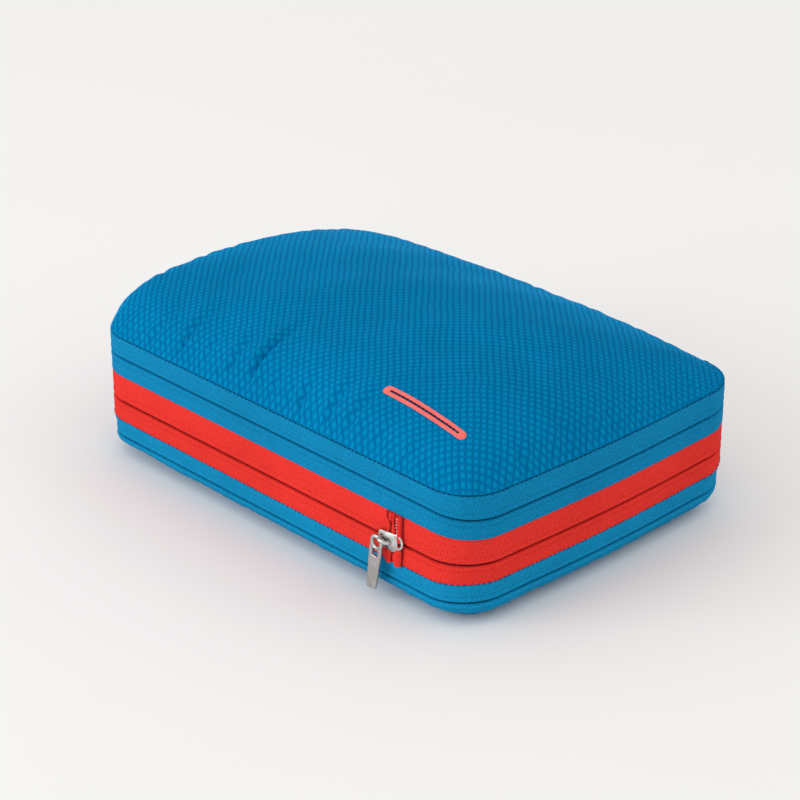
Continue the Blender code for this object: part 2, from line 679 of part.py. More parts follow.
def build_bottom_lid():
    """Bottom panel and the lower tape of the bottom zip."""
    blue_tape = make_material("bottom_lower_tape", TAPE_BLUE, 0.75)
    ripstop = make_material("bottom_panel_fabric", RIPSTOP_BLUE, 0.6)
    binding = make_material("bottom_binding_tape", LINING_BLUE, 0.8)
    coil = make_material("bottom_lower_coil_nylon", COIL_DARK, 0.4)
    tape_high = BOTTOM_SLIT_Z - HALF_SLIT
    levels = [(BOTTOM_TAPE_Z, BOTTOM_SEAM_INSET), (8.2, 5.4), (10.0, 3.2),
              (12.4, BOTTOM_WALL_INSET), (tape_high, BOTTOM_WALL_INSET)]
    lofted_strip("bottom_zip_lower_tape", lid_path, levels, TAPE_THICKNESS, False, blue_tape)
    upright_strip("bottom_zip_lower_coil", lid_coil_path, BOTTOM_WALL_INSET + COIL_INSET, COIL_DEPTH,
                  tape_high - COIL_HEIGHT, tape_high, coil)
    upright_strip("bottom_seam_binding", lid_coil_path, 9.6, BINDING_THICKNESS, 7.4, 10.4, binding)
    shares = [0.0, 0.012, 0.03, 0.06, 0.1, 0.15, 0.5]
    drops = [0.0, -2.2, -4.1, -5.7, -6.5, -PANEL_RIM_BOTTOM_Z, -PANEL_RIM_BOTTOM_Z, -PANEL_RIM_BOTTOM_Z]
    drop_at = dict(zip(shares + [1.0], drops))

    def sag(x, y, share, skin):
        if skin == 0:
            return drop_at[share]
        return drop_at[share] * (1.0 - PANEL_THICKNESS / PANEL_RIM_BOTTOM_Z)

    dished_panel("bottom_panel", PANEL_RIM_BOTTOM_Z, BOTTOM_SEAM_INSET, PANEL_THICKNESS, shares, sag, ripstop)


def build_sliders():
    """Three sliders with their pulls."""
    left_turn = -0.5 * math.pi
    places = [
        ("compression", 1.0, (COMPRESSION_SLIDER_X, -0.5 * WIDTH, COMPRESSION_SLIT_Z), 0.0, 0.0,
         COMPRESSION_SLIDER_SAG),
        ("top", -1.0, (-0.5 * LENGTH, TOP_SLIDER_Y, TOP_SLIT_Z), left_turn, 0.0, 0.0),
        ("bottom", -1.0, (-0.5 * LENGTH + BOTTOM_WALL_INSET, BOTTOM_SLIDER_Y, BOTTOM_SLIT_Z), left_turn,
         -BOTTOM_PULL_TILT, 0.0),
    ]
    for prefix, mouth, position, turn, tilt, sag in places:
        body_metal = make_material(prefix + "_slider_metal", NICKEL, 0.22, 1.0)
        pull_metal = make_material(prefix + "_pull_metal", NICKEL, 0.28, 1.0)
        slider = make_slider(prefix + "_slider", mouth, body_metal, sag)
        place(slider, position[0], position[1], position[2], turn)
        pull = make_pull(prefix + "_pull", pull_metal, tilt)
        offset = Matrix.Rotation(turn, 3, "Z") @ Vector((-3.6 * mouth, 0.0, 0.0))
        place(pull, position[0] + offset.x, position[1] + offset.y, position[2] - sag, turn)


build_lower_half()
build_upper_half()
build_top_lid()
build_bottom_lid()
build_sliders()
CUTTERS.hide_render = True
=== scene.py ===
"""Looks of a double-sided compression packing cube.

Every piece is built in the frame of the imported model: +Z up, the long side along X, the front
with the compression slider at -Y and the hinges of both lids at +Y. Sizes are in millimetres
and become metres when a mesh is made.
"""
from __future__ import annotations

import logging
import math
from dataclasses import dataclass, field
from enum import Enum
from typing import Callable, Sequence

import bmesh
import bpy
import numpy as np
from mathutils import Matrix, Vector


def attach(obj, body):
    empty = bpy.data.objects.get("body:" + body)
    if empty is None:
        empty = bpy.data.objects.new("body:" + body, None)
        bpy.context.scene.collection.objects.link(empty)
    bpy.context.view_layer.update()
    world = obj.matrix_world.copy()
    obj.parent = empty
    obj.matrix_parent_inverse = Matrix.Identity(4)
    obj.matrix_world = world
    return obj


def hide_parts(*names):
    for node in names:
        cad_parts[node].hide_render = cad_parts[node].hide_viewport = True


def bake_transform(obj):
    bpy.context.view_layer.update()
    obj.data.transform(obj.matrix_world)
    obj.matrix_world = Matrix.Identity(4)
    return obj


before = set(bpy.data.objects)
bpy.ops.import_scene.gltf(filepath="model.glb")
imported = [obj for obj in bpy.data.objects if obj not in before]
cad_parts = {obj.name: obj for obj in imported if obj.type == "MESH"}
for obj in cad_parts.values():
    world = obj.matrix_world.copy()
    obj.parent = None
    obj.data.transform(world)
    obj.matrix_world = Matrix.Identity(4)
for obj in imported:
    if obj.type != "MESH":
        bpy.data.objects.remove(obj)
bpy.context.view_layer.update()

LOG = logging.getLogger("packing_cube")
MM = 0.001
TAU = 2.0 * math.pi
Array = np.ndarray
Material = bpy.types.Material
Node = bpy.types.Node
Piece = bpy.types.Object
Socket = bpy.types.NodeSocket
Colour = tuple[float, float, float]
Point = tuple[float, float, float]
Looks = dict[str, Material]


class Body(Enum):
    """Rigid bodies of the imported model."""

    LOWER_WALL = "lower_wall"
    UPPER_WALL = "upper_wall"
    TOP_LID = "top_lid"
    BOTTOM_LID = "bottom_lid"
    COMPRESSION_SLIDER = "compression_slider"
    COMPRESSION_PULL = "compression_pull"
    TOP_SLIDER = "top_slider"
    TOP_PULL = "top_pull"
    BOTTOM_SLIDER = "bottom_slider"
    BOTTOM_PULL = "bottom_pull"


# ---------------------------------------------------------------- shader helpers


@dataclass
class Sketch:
    """Short calls for wiring the nodes of one tree."""

    tree: bpy.types.NodeTree

    def feed(self, socket: Socket, value: object) -> None:
        """Link or set an input.

        Args:
            socket: The input.
            value: Socket that feeds it, or its value; a colour comes without its alpha.
        """
        if isinstance(value, Socket):
            self.tree.links.new(value, socket)
        elif socket.type == "RGBA":
            socket.default_value = (*value, 1.0)
        else:
            socket.default_value = value

    def node(self, kind: str, feeds: dict | None = None, **settings: object) -> Node:
        """Add a node.

        Args:
            kind: Blender's type name of the node.
            feeds: Socket or value for each of its inputs, by name or number.
            settings: Properties of the node and their values.

        Returns:
            The new node.
        """
        made = self.tree.nodes.new(kind)
        for name, value in settings.items():
            setattr(made, name, value)
        for name, value in (feeds or {}).items():
            self.feed(made.inputs[name], value)
        return made

    def given(self) -> dict[str, Socket]:
        """Add the group's input node and return its sockets by name."""
        return {socket.name: socket for socket in self.node("NodeGroupInput").outputs if socket.name}

    def maths(self, operation: str, *values: object) -> Socket:
        """Return the result of a Math node on up to three sockets or numbers."""
        return self.node("ShaderNodeMath", dict(enumerate(values)), operation=operation).outputs[0]

    def vector(self, operation: str, *values: object) -> Socket:
        """Return the result of a Vector Math node on two sockets or vectors."""
        return self.node("ShaderNodeVectorMath", dict(enumerate(values)), operation=operation).outputs[0]

    def scale(self, vector: Socket, amount: object) -> Socket:
        """Return a vector or colour times a number or socket."""
        return self.node("ShaderNodeVectorMath", {0: vector, "Scale": amount}, operation="SCALE").outputs[0]

    def split(self, vector: Socket) -> list[Socket]:
        """Return the three parts of a vector."""
        return list(self.node("ShaderNodeSeparateXYZ", {0: vector}).outputs)

    def ramp(self, value: object, low: float, high: float, start: float = 0.0, end: float = 1.0) -> Socket:
        """Map a value smoothly from one range to another.

        Args:
            value: Socket or number to map.
            low: Value at which the ramp starts.
            high: Value at which the ramp ends.
            start: Result at the low value.
            end: Result at the high value.

        Returns:
            The result's socket.
        """
        feeds = {"Value": value, "From Min": low, "From Max": high, "To Min": start, "To Max": end}
        return self.node("ShaderNodeMapRange", feeds, interpolation_type="SMOOTHSTEP").outputs["Result"]

    def mix(self, share: object, first: object, second: object) -> Socket:
        """Return a mix of two colours, with the share of the second one."""
        return self.node("ShaderNodeMix", {"Factor": share, 6: first, 7: second}, data_type="RGBA").outputs[2]

    def noise(self, vector: object, scale: object, detail: float = 2.0, roughness: float = 0.5) -> Socket:
        """Add a noise texture.

        Args:
            vector: Coordinates to read.
            scale: How often the noise repeats in a unit.
            detail: Number of finer octaves.
            roughness: Weight of the finer octaves.

        Returns:
            The noise value's socket.
        """
        feeds = {"Vector": vector, "Scale": scale, "Detail": detail, "Roughness": roughness}
        return self.node("ShaderNodeTexNoise", feeds).outputs["Fac"]


class Effect(Enum):
    """Surface effects that more than one material shares."""

    CELL_WEAVE = "cube_cell_weave"
    TAPE_WEAVE = "cube_tape_weave"
    DRIFT = "cube_shade_drift"
    METAL_GRAIN = "cube_metal_grain"


def start_group(effect: Effect, inputs: dict[str, float | None],
                outputs: Sequence[str]) -> tuple[Sketch, dict[str, Socket]]:
    """Start a shader node group.

    Args:
        effect: The effect it makes.
        inputs: Default of each input; an input with none is a vector.
        outputs: Names of its outputs, all numbers.

    Returns:
        A sketch of its tree and its inputs by name.
    """
    tree = bpy.data.node_groups.new(effect.value, "ShaderNodeTree")
    for label, value in inputs.items():
        kind = "NodeSocketVector" if value is None else "NodeSocketFloat"
        socket = tree.interface.new_socket(label, in_out="INPUT", socket_type=kind)
        if value is not None:
            socket.default_value = value
    for label in outputs:
        tree.interface.new_socket(label, in_out="OUTPUT", socket_type="NodeSocketFloat")
    sketch = Sketch(tree)
    return sketch, sketch.given()


def make_cell_weave() -> None:
    """Build the diamond ripstop: thick threads at 45 degrees round small puffed cells. The Line mask carries
    painted shade in the grooves between the cells.
    """
    sketch, given = start_group(
        Effect.CELL_WEAVE, {"Cloth": None, "Cell": 3.05, "Thread": 0.46, "Waver": 0.35},
        ["Line", "Puff", "Height"])
    count_offset = 512.0
    fine_thread = 0.62
    sway = sketch.node("ShaderNodeTexNoise", {"Vector": given["Cloth"], "Scale": 0.05})
    centred = sketch.vector("SUBTRACT", sway.outputs["Color"], (0.5, 0.5, 0.5))
    shift = sketch.scale(centred, sketch.maths("MULTIPLY", given["Waver"], 6.0))
    x, y, _ = sketch.split(sketch.vector("ADD", given["Cloth"], shift))
    reach = sketch.maths("MULTIPLY", given["Cell"], math.sqrt(2.0))
    low = sketch.maths("SUBTRACT", 1.0, given["Thread"])
    groove_shade_masks = []
    swells = []
    # Painted shade: the Line mask darkens the threads in the grooves between the puffed cells, more on one
    # direction of threads to follow the light.
    for operation, shade_weight in (("ADD", 0.52), ("SUBTRACT", 0.27)):
        across = sketch.maths("DIVIDE", sketch.maths(operation, x, y), reach)
        share = sketch.maths("FRACT", sketch.maths("ADD", across, count_offset))
        near = sketch.maths("ABSOLUTE", sketch.maths("MULTIPLY_ADD", share, 2.0, -1.0))
        groove_shade_masks.append(sketch.ramp(near, low, 1.0, 0.0, shade_weight))
        swells.append(sketch.maths("SUBTRACT", 1.0, sketch.maths("POWER", near, 2.0)))
    puff = sketch.maths("MULTIPLY", *swells)
    fine = [sketch.maths("SINE", sketch.maths("MULTIPLY", place, TAU / fine_thread)) for place in (x, y)]
    height = sketch.maths("MULTIPLY_ADD", sketch.maths("MULTIPLY", *fine), 0.05, puff)
    sketch.node("NodeGroupOutput", {"Line": sketch.maths("MAXIMUM", *groove_shade_masks), "Puff": puff, "Height": height})


def make_tape_weave() -> None:
    """Build the woven zip tape: ribs across the tape with a finer thread along it."""
    sketch, given = start_group(Effect.TAPE_WEAVE, {"Cloth": None, "Rib": 1.3, "Lean": 0.35},
                                ["Height", "Tint"])
    fine_thread = 0.7
    x, y, _ = sketch.split(given["Cloth"])
    slant = sketch.maths("MULTIPLY_ADD", y, given["Lean"], x)
    rib = sketch.maths("SINE", sketch.maths("MULTIPLY", sketch.maths("DIVIDE", slant, given["Rib"]), TAU))
    thread = sketch.maths("SINE", sketch.maths("MULTIPLY", y, TAU / fine_thread))
    flecks = sketch.noise(given["Cloth"], 1.1, 3.0, 0.6)
    blend = sketch.maths("MULTIPLY_ADD", thread, 0.35, rib)
    tint = sketch.maths("MULTIPLY_ADD", blend, 0.24, sketch.ramp(flecks, 0.25, 0.75, 0.15, 0.85))
    height = sketch.maths("MULTIPLY_ADD", flecks, 0.9, blend)
    sketch.node("NodeGroupOutput", {"Height": height, "Tint": tint})


def make_drift() -> None:
    """Build the slow shade change of dyed cloth, with a faint handling mark here and there."""
    sketch, given = start_group(Effect.DRIFT, {"Place": None, "Amount": 0.1}, ["Factor"])
    slow = sketch.ramp(sketch.noise(given["Place"], 14.0, 2.0), 0.3, 0.7, -1.0, 1.0)
    quick = sketch.ramp(sketch.noise(given["Place"], 75.0, 3.0, 0.6), 0.25, 0.75, -0.55, 0.55)
    both = sketch.maths("ADD", slow, quick)
    sketch.node("NodeGroupOutput", {"Factor": sketch.maths("MULTIPLY_ADD", both, given["Amount"], 1.0)})


def make_metal_grain() -> None:
    """Build the fine scratches and soft stains of plated metal."""
    sketch, given = start_group(Effect.METAL_GRAIN, {"Place": None, "Stretch": 9.0}, ["Scratch", "Stain"])
    x, y, z = sketch.split(given["Place"])
    drawn = [sketch.maths("MULTIPLY", place, given["Stretch"]) for place in (x, y)]
    joined = sketch.node("ShaderNodeCombineXYZ", {0: drawn[0], 1: drawn[1], 2: z})
    sketch.node("NodeGroupOutput", {"Scratch": sketch.noise(joined.outputs[0], 420.0, 3.0, 0.6),
                                    "Stain": sketch.noise(given["Place"], 260.0, 2.0)})


# ---------------------------------------------------------------- finishes


class Finish:
    """Start of every finish: a material and what all of them wire the same way."""

    name: str

    def start(self) -> tuple[Material, Sketch]:
        """Make the material.

        Returns:
            The material and a sketch of its tree.
        """
        made = bpy.data.materials.new(self.name)
        made.use_nodes = True
        return made, Sketch(made.node_tree)

    @staticmethod
    def effect(sketch: Sketch, which: Effect, **values: object) -> dict[str, Socket]:
        """Place a shared effect in a material.

        Args:
            sketch: Sketch of the material's tree.
            which: The effect.
            values: Its inputs.

        Returns:
            Its outputs by name.
        """
        made = sketch.node("ShaderNodeGroup", node_tree=bpy.data.node_groups[which.value])
        for name, value in values.items():
            sketch.feed(made.inputs[name], value)
        return {socket.name: socket for socket in made.outputs}

    @staticmethod
    def facing(sketch: Sketch, blend: float) -> Socket:
        """Return how far the surface turns away, from a Layer Weight node with this blend."""
        return sketch.node("ShaderNodeLayerWeight", {"Blend": blend}).outputs["Facing"]

    @staticmethod
    def close(sketch: Sketch, height: Socket, depth: float, feeds: dict[str, object]) -> None:
        """Wire the Principled shader.

        Args:
            sketch: Sketch of the material's tree.
            height: Height of the fine relief, from 0 to 1.
            depth: Depth of the relief in millimetres.
            feeds: Socket or value for each of the shader's own inputs.
        """
        shader = sketch.tree.nodes["Principled BSDF"]
        bump = sketch.node("ShaderNodeBump", {"Strength": 1.0, "Distance": depth * MM, "Height": height})
        for name, value in {**feeds, "Normal": bump.outputs["Normal"]}.items():
            sketch.feed(shader.inputs[name], value)

    @staticmethod
    def cloth_place(sketch: Sketch) -> Socket:
        """Return the cloth's own millimetre coordinates, kept in its UV map."""
        return sketch.node("ShaderNodeUVMap", uv_map="cloth").outputs[0]

    @staticmethod
    def object_place(sketch: Sketch) -> Socket:
        """Return the object coordinates' socket."""
        return sketch.node("ShaderNodeTexCoord").outputs["Object"]


@dataclass(frozen=True)
class RipstopFinish(Finish):
    """Light nylon with thick threads in a diamond grid, with painted light: lighter puffed cell centres,
    darker threads in the grooves and a lighter sheen at grazing angles.
    """

    name: str
    cloth: Colour
    # Lighter colour of the cell centres: painted highlight on the puffed cells.
    centre: Colour
    # Darker colour of the threads: painted shade in the grooves between the cells.
    thread: Colour
    roughness: float = 0.8
    depth: float = 0.20
    cell: float = 3.05
    drift: float = 0.05

    def build(self) -> Material:
        """Build the finish.

        Returns:
            The finished material.
        """
        made, sketch = self.start()
        weave = self.effect(sketch, Effect.CELL_WEAVE, Cloth=self.cloth_place(sketch), Cell=self.cell)
        drift = self.effect(sketch, Effect.DRIFT, Place=self.object_place(sketch), Amount=self.drift)
        # Painted highlight on the puffed cell centres, then painted groove shade on the threads.
        face = sketch.mix(sketch.ramp(weave["Puff"], 0.35, 1.0), self.cloth, self.centre)
        grid_with_painted_light = sketch.mix(weave["Line"], face, self.thread)
        # Painted sheen: the colour grows lighter towards grazing angles; shade is the random tone drift times
        # this painted sheen.
        turned = sketch.ramp(self.facing(sketch, 0.5), 0.62, 0.95, 1.0, 1.35)
        shade = sketch.maths("MULTIPLY", drift["Factor"], turned)
        rough = sketch.ramp(weave["Line"], 0.0, 1.0, self.roughness, self.roughness + 0.15)
        self.close(sketch, weave["Height"], self.depth,
                   {"Base Color": sketch.scale(grid_with_painted_light, shade), "Roughness": rough,
                    "Specular IOR Level": 0.015})
        return made


@dataclass(frozen=True)
class TapeFinish(Finish):
    """Woven polyester zip tape."""

    name: str
    light: Colour
    dark: Colour
    roughness: float = 0.8
    depth: float = 0.10
    drift: float = 0.05

    def build(self) -> Material:
        """Build the finish.

        Returns:
            The finished material.
        """
        made, sketch = self.start()
        weave = self.effect(sketch, Effect.TAPE_WEAVE, Cloth=self.cloth_place(sketch))
        drift = self.effect(sketch, Effect.DRIFT, Place=self.object_place(sketch), Amount=self.drift)
        face = sketch.mix(weave["Tint"], self.dark, self.light)
        rough = sketch.ramp(weave["Tint"], 0.0, 1.0, self.roughness, self.roughness - 0.1)
        self.close(sketch, weave["Height"], self.depth,
                   {"Base Color": sketch.scale(face, drift["Factor"]), "Roughness": rough,
                    "Specular IOR Level": 0.02})
        return made


@dataclass(frozen=True)
class PlainFinish(Finish):
    """Thread, nylon coil or printed film: one colour with a fine grain."""

    name: str
    light: Colour
    dark: Colour
    roughness: float = 0.5
    specular: float = 0.3
    grain: float = 900.0
    depth: float = 0.04

    def build(self) -> Material:
        """Build the finish.

        Returns:
            The finished material.
        """
        made, sketch = self.start()
        fleck = sketch.noise(self.object_place(sketch), self.grain, 3.0, 0.6)
        rough = sketch.ramp(fleck, 0.2, 0.8, self.roughness - 0.08, self.roughness + 0.08)
        self.close(sketch, fleck, self.depth,
                   {"Base Color": sketch.mix(sketch.ramp(fleck, 0.3, 0.7), self.dark, self.light),
                    "Roughness": rough, "Specular IOR Level": self.specular})
        return made


@dataclass(frozen=True)
class MetalFinish(Finish):
    """Nickel plating with handling scratches and painted shade that darkens it towards grazing angles."""

    name: str
    light: Colour = (0.70, 0.70, 0.69)
    dark: Colour = (0.50, 0.50, 0.49)
    roughness: float = 0.24
    stretch: float = 9.0

    def build(self) -> Material:
        """Build the finish.

        Returns:
            The finished material.
        """
        made, sketch = self.start()
        grain = self.effect(sketch, Effect.METAL_GRAIN, Place=self.object_place(sketch), Stretch=self.stretch)
        plating = sketch.mix(sketch.ramp(grain["Stain"], 0.35, 0.65), self.dark, self.light)
        # Painted shade: the plating's colour darkens towards grazing angles.
        turned = sketch.ramp(self.facing(sketch, 0.35), 0.15, 0.75, 1.0, 0.42)
        rough = sketch.ramp(grain["Scratch"], 0.3, 0.75, self.roughness, self.roughness + 0.16)
        self.close(sketch, grain["Scratch"], 0.015,
                   {"Base Color": sketch.scale(plating, turned), "Roughness": rough, "Metallic": 1.0})
        return made


FINISHES: dict[str, Finish] = {
    "blue": TapeFinish("tape_blue", (0.008, 0.285, 0.54), (0.002, 0.150, 0.335)),
    # Lighter copy of the blue tape for the lower zip: painted light that makes up for the floor's shade on
    # the lower wall.
    "lower_blue_painted_lighter": TapeFinish("tape_blue_lower_painted_lighter", (0.010, 0.33, 0.60), (0.003, 0.185, 0.395)),
    "red": TapeFinish("tape_red", (0.89, 0.055, 0.038), (0.64, 0.020, 0.020)),
    # Ripstop and lining: cloth colour, lighter centre colour painted as highlight on the puffed cells, darker
    # thread colour painted as shade in the grooves.
    "ripstop": RipstopFinish("ripstop_blue", (0.0, 0.168, 0.385), (0.0, 0.222, 0.462), (0.0, 0.085, 0.225)),
    "lining": RipstopFinish("lining_blue", (0.006, 0.12, 0.29), (0.008, 0.14, 0.32), (0.004, 0.095, 0.25),
                            depth=0.08, cell=2.2),
    "binding": TapeFinish("binding_blue", (0.008, 0.15, 0.34), (0.004, 0.10, 0.26)),
    # Dark coils: real coils, coloured darker than their tapes so that they also paint the shade in the slits.
    "coil_dark": PlainFinish("coil_dark", (0.004, 0.05, 0.12), (0.002, 0.03, 0.08), 0.45, 0.3),
    "coil_red": PlainFinish("coil_red", (0.22, 0.008, 0.010), (0.14, 0.005, 0.008), 0.6, 0.1),
    "thread_blue": PlainFinish("thread_blue", (0.008, 0.20, 0.42), (0.004, 0.13, 0.32), 0.7, 0.1),
    # Dark seam thread: real topstitching, drawn dark so that it also paints the fold shadow along the seams.
    "thread_dark_and_seam_shadow": PlainFinish("thread_dark_and_seam_shadow", (0.001, 0.075, 0.21), (0.0, 0.045, 0.14), 0.7, 0.05),
    "thread_red": PlainFinish("thread_red", (0.70, 0.03, 0.025), (0.5, 0.015, 0.015), 0.7, 0.1),
    "thread_pale": PlainFinish("thread_pale", (0.86, 0.60, 0.58), (0.7, 0.42, 0.40), 0.6, 0.2),
    "film": PlainFinish("trim_coral", (1.0, 0.165, 0.145), (0.93, 0.13, 0.115), 0.45, 0.25, 500.0, 0.03),
    "slot_thread": PlainFinish("slot_thread", (0.03, 0.02, 0.05), (0.015, 0.01, 0.03), 0.6, 0.1),
    "polished": MetalFinish("nickel_polished", roughness=0.16),
    "satin": MetalFinish("nickel_satin", (0.56, 0.555, 0.54), (0.47, 0.465, 0.45), 0.34),
}


# ---------------------------------------------------------------- plan shape


def smooth(value: Array, low: float, high: float) -> Array:
    """Return a smooth 0 to 1 step of a value between two limits."""
    share = np.clip((value - low) / (high - low), 0.0, 1.0)
    return share * share * (3.0 - 2.0 * share)


@dataclass(frozen=True)
class Outline:
    """Plan outline walked by distance, anticlockwise from the compression zip's ends."""

    length: float = 270.0
    width: float = 192.0
    corner: float = 23.0
    ends_x: float = 94.4
    bow: float = 2.6

    @property
    def legs(self) -> list[tuple[str, float]]:
        """Kind and length of each straight and corner, in walking order."""
        turn = 0.5 * math.pi * self.corner
        long_leg = self.length - 2.0 * self.corner
        short_leg = self.width - 2.0 * self.corner
        first = 0.5 * self.length - self.corner - self.ends_x
        return [("straight", first), ("turn", turn), ("straight", short_leg), ("turn", turn),
                ("straight", long_leg), ("turn", turn), ("straight", short_leg), ("turn", turn),
                ("straight", long_leg - first)]

    @property
    def round_trip(self) -> float:
        """Distance once round."""
        return sum(length for _, length in self.legs)

    def walk(self, distance: Array) -> tuple[Array, Array]:
        """Find places on the outline.

        Args:
            distance: Distances from the start; they may run past a full round.

        Returns:
            The points and their outward directions, one row each.
        """
        distance = np.mod(np.asarray(distance, float), self.round_trip)
        points = np.zeros((len(distance), 2))
        facing = np.zeros((len(distance), 2))
        place = np.array([self.ends_x, -0.5 * self.width])
        angle = 0.0
        begun = 0.0
        for index, (kind, length) in enumerate(self.legs):
            last = index == len(self.legs) - 1
            inside = (distance >= begun) & ((distance < begun + length) | last)
            along = distance[inside] - begun
            ahead = np.array([math.cos(angle), math.sin(angle)])
            out = np.array([ahead[1], -ahead[0]])
            if kind == "straight":
                points[inside] = place + along[:, None] * ahead
                facing[inside] = out
                place = place + length * ahead
            else:
                centre = place - self.corner * out
                turned = angle - 0.5 * math.pi + along / self.corner
                facing[inside] = np.stack([np.cos(turned), np.sin(turned)], axis=1)
                points[inside] = centre + self.corner * facing[inside]
                angle += 0.5 * math.pi
                ahead = np.array([math.cos(angle), math.sin(angle)])
                place = centre + self.corner * np.array([ahead[1], -ahead[0]])
            begun += length
        return points, facing

    def distance_on_right(self, y: float) -> float:
        """Return the distance to a place on the straight of the +X end."""
        legs = self.legs
        return legs[0][1] + legs[1][1] + y + 0.5 * self.width - self.corner

    def distance_on_left(self, y: float) -> float:
        """Return the distance to a place on the straight of the -X end."""
        return sum(length for _, length in self.legs[:6]) + 0.5 * self.width - self.corner - y

    def settle(self, points: Array) -> Array:
        """Move points of the even shape to where the stuffed cloth settles.

        The +X end bows out, the lower seams sink on the front and the +X end, and the lower tape
        fills out over the floor. The lower edge of the -X end draws up and in. The hinge side keeps
        the even shape.

        Args:
            points: Points, one row each.

        Returns:
            The moved points.
        """
        moved = points.copy()
        x, y, z = points.T
        right = smooth(x, 108.0, 134.0)
        side = smooth(x, -60.0, 60.0)
        sinks = 1.0 - smooth(y, -92.0 + 164.0 * side, -66.0 + 161.0 * side)
        levels = (0.0, 6.85, 15.5, 25.15, 35.5, 47.15, 57.0, 68.35, 80.0)
        front_drop = np.interp(z, levels, (0.0, -2.7, -4.2, -3.8, -3.6, -0.3, 0.0, 0.0, 0.0))
        right_drop = np.interp(z, levels, (0.0, -3.0, -3.1, -2.6, -3.4, -1.8, -2.2, -0.6, 0.0))
        moved[:, 2] += sinks * ((1.0 - right) * front_drop + right * right_drop)
        tuck = smooth(-x, 70.0, 130.0) * (1.0 - smooth(y, 20.0, 70.0))
        moved[:, 2] += tuck * np.interp(z, (0.0, 6.85, 11.5), (3.6, 1.8, 0.0))
        core = 0.5 * np.array([self.length, self.width]) - self.corner
        reach = points[:, :2] - np.clip(points[:, :2], -core, core)
        length = np.maximum(np.hypot(*reach.T), 1e-6)
        fill = np.interp(z, (0.0, 3.0, 6.85, 12.4, 20.0, 25.0), (0.4, 0.9, 1.2, 0.8, 0.6, 0.0))
        fill = sinks * fill - tuck * np.interp(z, (0.0, 6.85, 11.5), (5.0, 3.0, 0.0))
        fill *= smooth(length, 0.0, 12.0)
        moved[:, :2] += (fill / length)[:, None] * reach
        across = np.clip(1.0 - (y / (0.5 * self.width)) ** 2, 0.0, 1.0) ** 2
        moved[:, 0] += self.bow * across * smooth(x, 40.0, 0.5 * self.length)
        return moved


OUTLINE = Outline()
HALF_X = 0.5 * OUTLINE.length
HALF_Y = 0.5 * OUTLINE.width


@dataclass(frozen=True)
class Ripple:
    """Soft unevenness along a seam, made of a few fixed waves."""

    seed: int
    amount: float
    shortest: float = 7.0
    longest: float = 60.0
    waves: int = 7

    def at(self, distance: Array) -> Array:
        """Add up the waves.

        Args:
            distance: Distances round the outline.

        Returns:
            The unevenness there, in millimetres.
        """
        chance = np.random.default_rng(self.seed)
        total = np.zeros(len(distance))
        for _ in range(self.waves):
            wave = self.shortest * (self.longest / self.shortest) ** chance.random()
            turns = max(1, round(OUTLINE.round_trip / wave))
            share = 0.5 + chance.random()
            start = TAU * chance.random()
            total += share * np.sin(TAU * turns * distance / OUTLINE.round_trip + start)
        return self.amount * total / math.sqrt(self.waves)


# ---------------------------------------------------------------- mesh helpers


def link_object(name: str, data: bpy.types.ID) -> Piece:
    """Link a new object to the scene.

    Args:
        name: Name of the object.
        data: Its mesh, curve, lamp or camera.

    Returns:
        The object.
    """
    made = bpy.data.objects.new(name, data)
    bpy.context.scene.collection.objects.link(made)
    return made


def set_piece(piece: Piece, body: Body | None, slot: str, *nodes: str) -> Piece:
    """Set a piece on its body and let it stand for its CAD nodes.

    Args:
        piece: The piece.
        body: Body it moves with, or None for a piece on no body.
        slot: Material slot of the record; not used.
        nodes: Names of the CAD nodes it stands for.

    Returns:
        The piece.
    """
    if body:
        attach(piece, body.value)
    if nodes:
        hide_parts(*nodes)
    return piece


def finish_mesh(name: str, shape: bmesh.types.BMesh, mesh: bpy.types.Mesh, material: Material,
                sharp: float) -> Piece:
    """Turn the faces outwards, shade them and make the object.

    Args:
        name: Name of the piece.
        shape: Its faces; they are freed.
        mesh: Mesh that takes the faces.
        material: Its finish.
        sharp: Angle in degrees past which an edge stays sharp.

    Returns:
        The object, at the origin and linked to the scene.
    """
    bmesh.ops.recalc_face_normals(shape, faces=shape.faces)
    shape.to_mesh(mesh)
    shape.free()
    mesh.materials.append(material)
    mesh.shade_smooth()
    mesh.set_sharp_from_angle(angle=math.radians(sharp))
    LOG.info("%s: %d faces", name, len(mesh.polygons))
    return link_object(name, mesh)


def make_piece(name: str, points: Array, faces: Sequence[Sequence[int]], material: Material,
               cloth: Array | None = None) -> Piece:
    """Make a finished mesh object.

    Args:
        name: Name of the piece.
        points: Corner points in millimetres.
        faces: Corner indices of each face.
        material: Its finish.
        cloth: Cloth coordinates of each point, in millimetres.

    Returns:
        The object, at the origin and linked to the scene.
    """
    mesh = bpy.data.meshes.new(name)
    mesh.from_pydata((np.asarray(points) * MM).tolist(), [], [list(face) for face in faces])
    if cloth is not None:
        layer = mesh.uv_layers.new(name="cloth")
        corners = np.zeros(len(mesh.loops), np.int32)
        mesh.loops.foreach_get("vertex_index", corners)
        layer.data.foreach_set("uv", np.asarray(cloth, np.float32)[corners].ravel())
    shape = bmesh.new()
    shape.from_mesh(mesh)
    bmesh.ops.remove_doubles(shape, verts=shape.verts, dist=2e-6)
    bmesh.ops.dissolve_degenerate(shape, edges=shape.edges, dist=1e-7)
    return finish_mesh(name, shape, mesh, material, 52.0)


def flatten_modifiers(piece: Piece) -> Piece:
    """Turn a piece and its modifiers into a plain mesh.

    Args:
        piece: Mesh or curve object.

    Returns:
        A mesh object in its place, with no modifiers.
    """
    graph = bpy.context.evaluated_depsgraph_get()
    mesh = bpy.data.meshes.new_from_object(piece.evaluated_get(graph))
    name = piece.name
    bpy.data.objects.remove(piece, do_unlink=True)
    mesh.name = name
    return link_object(name, mesh)


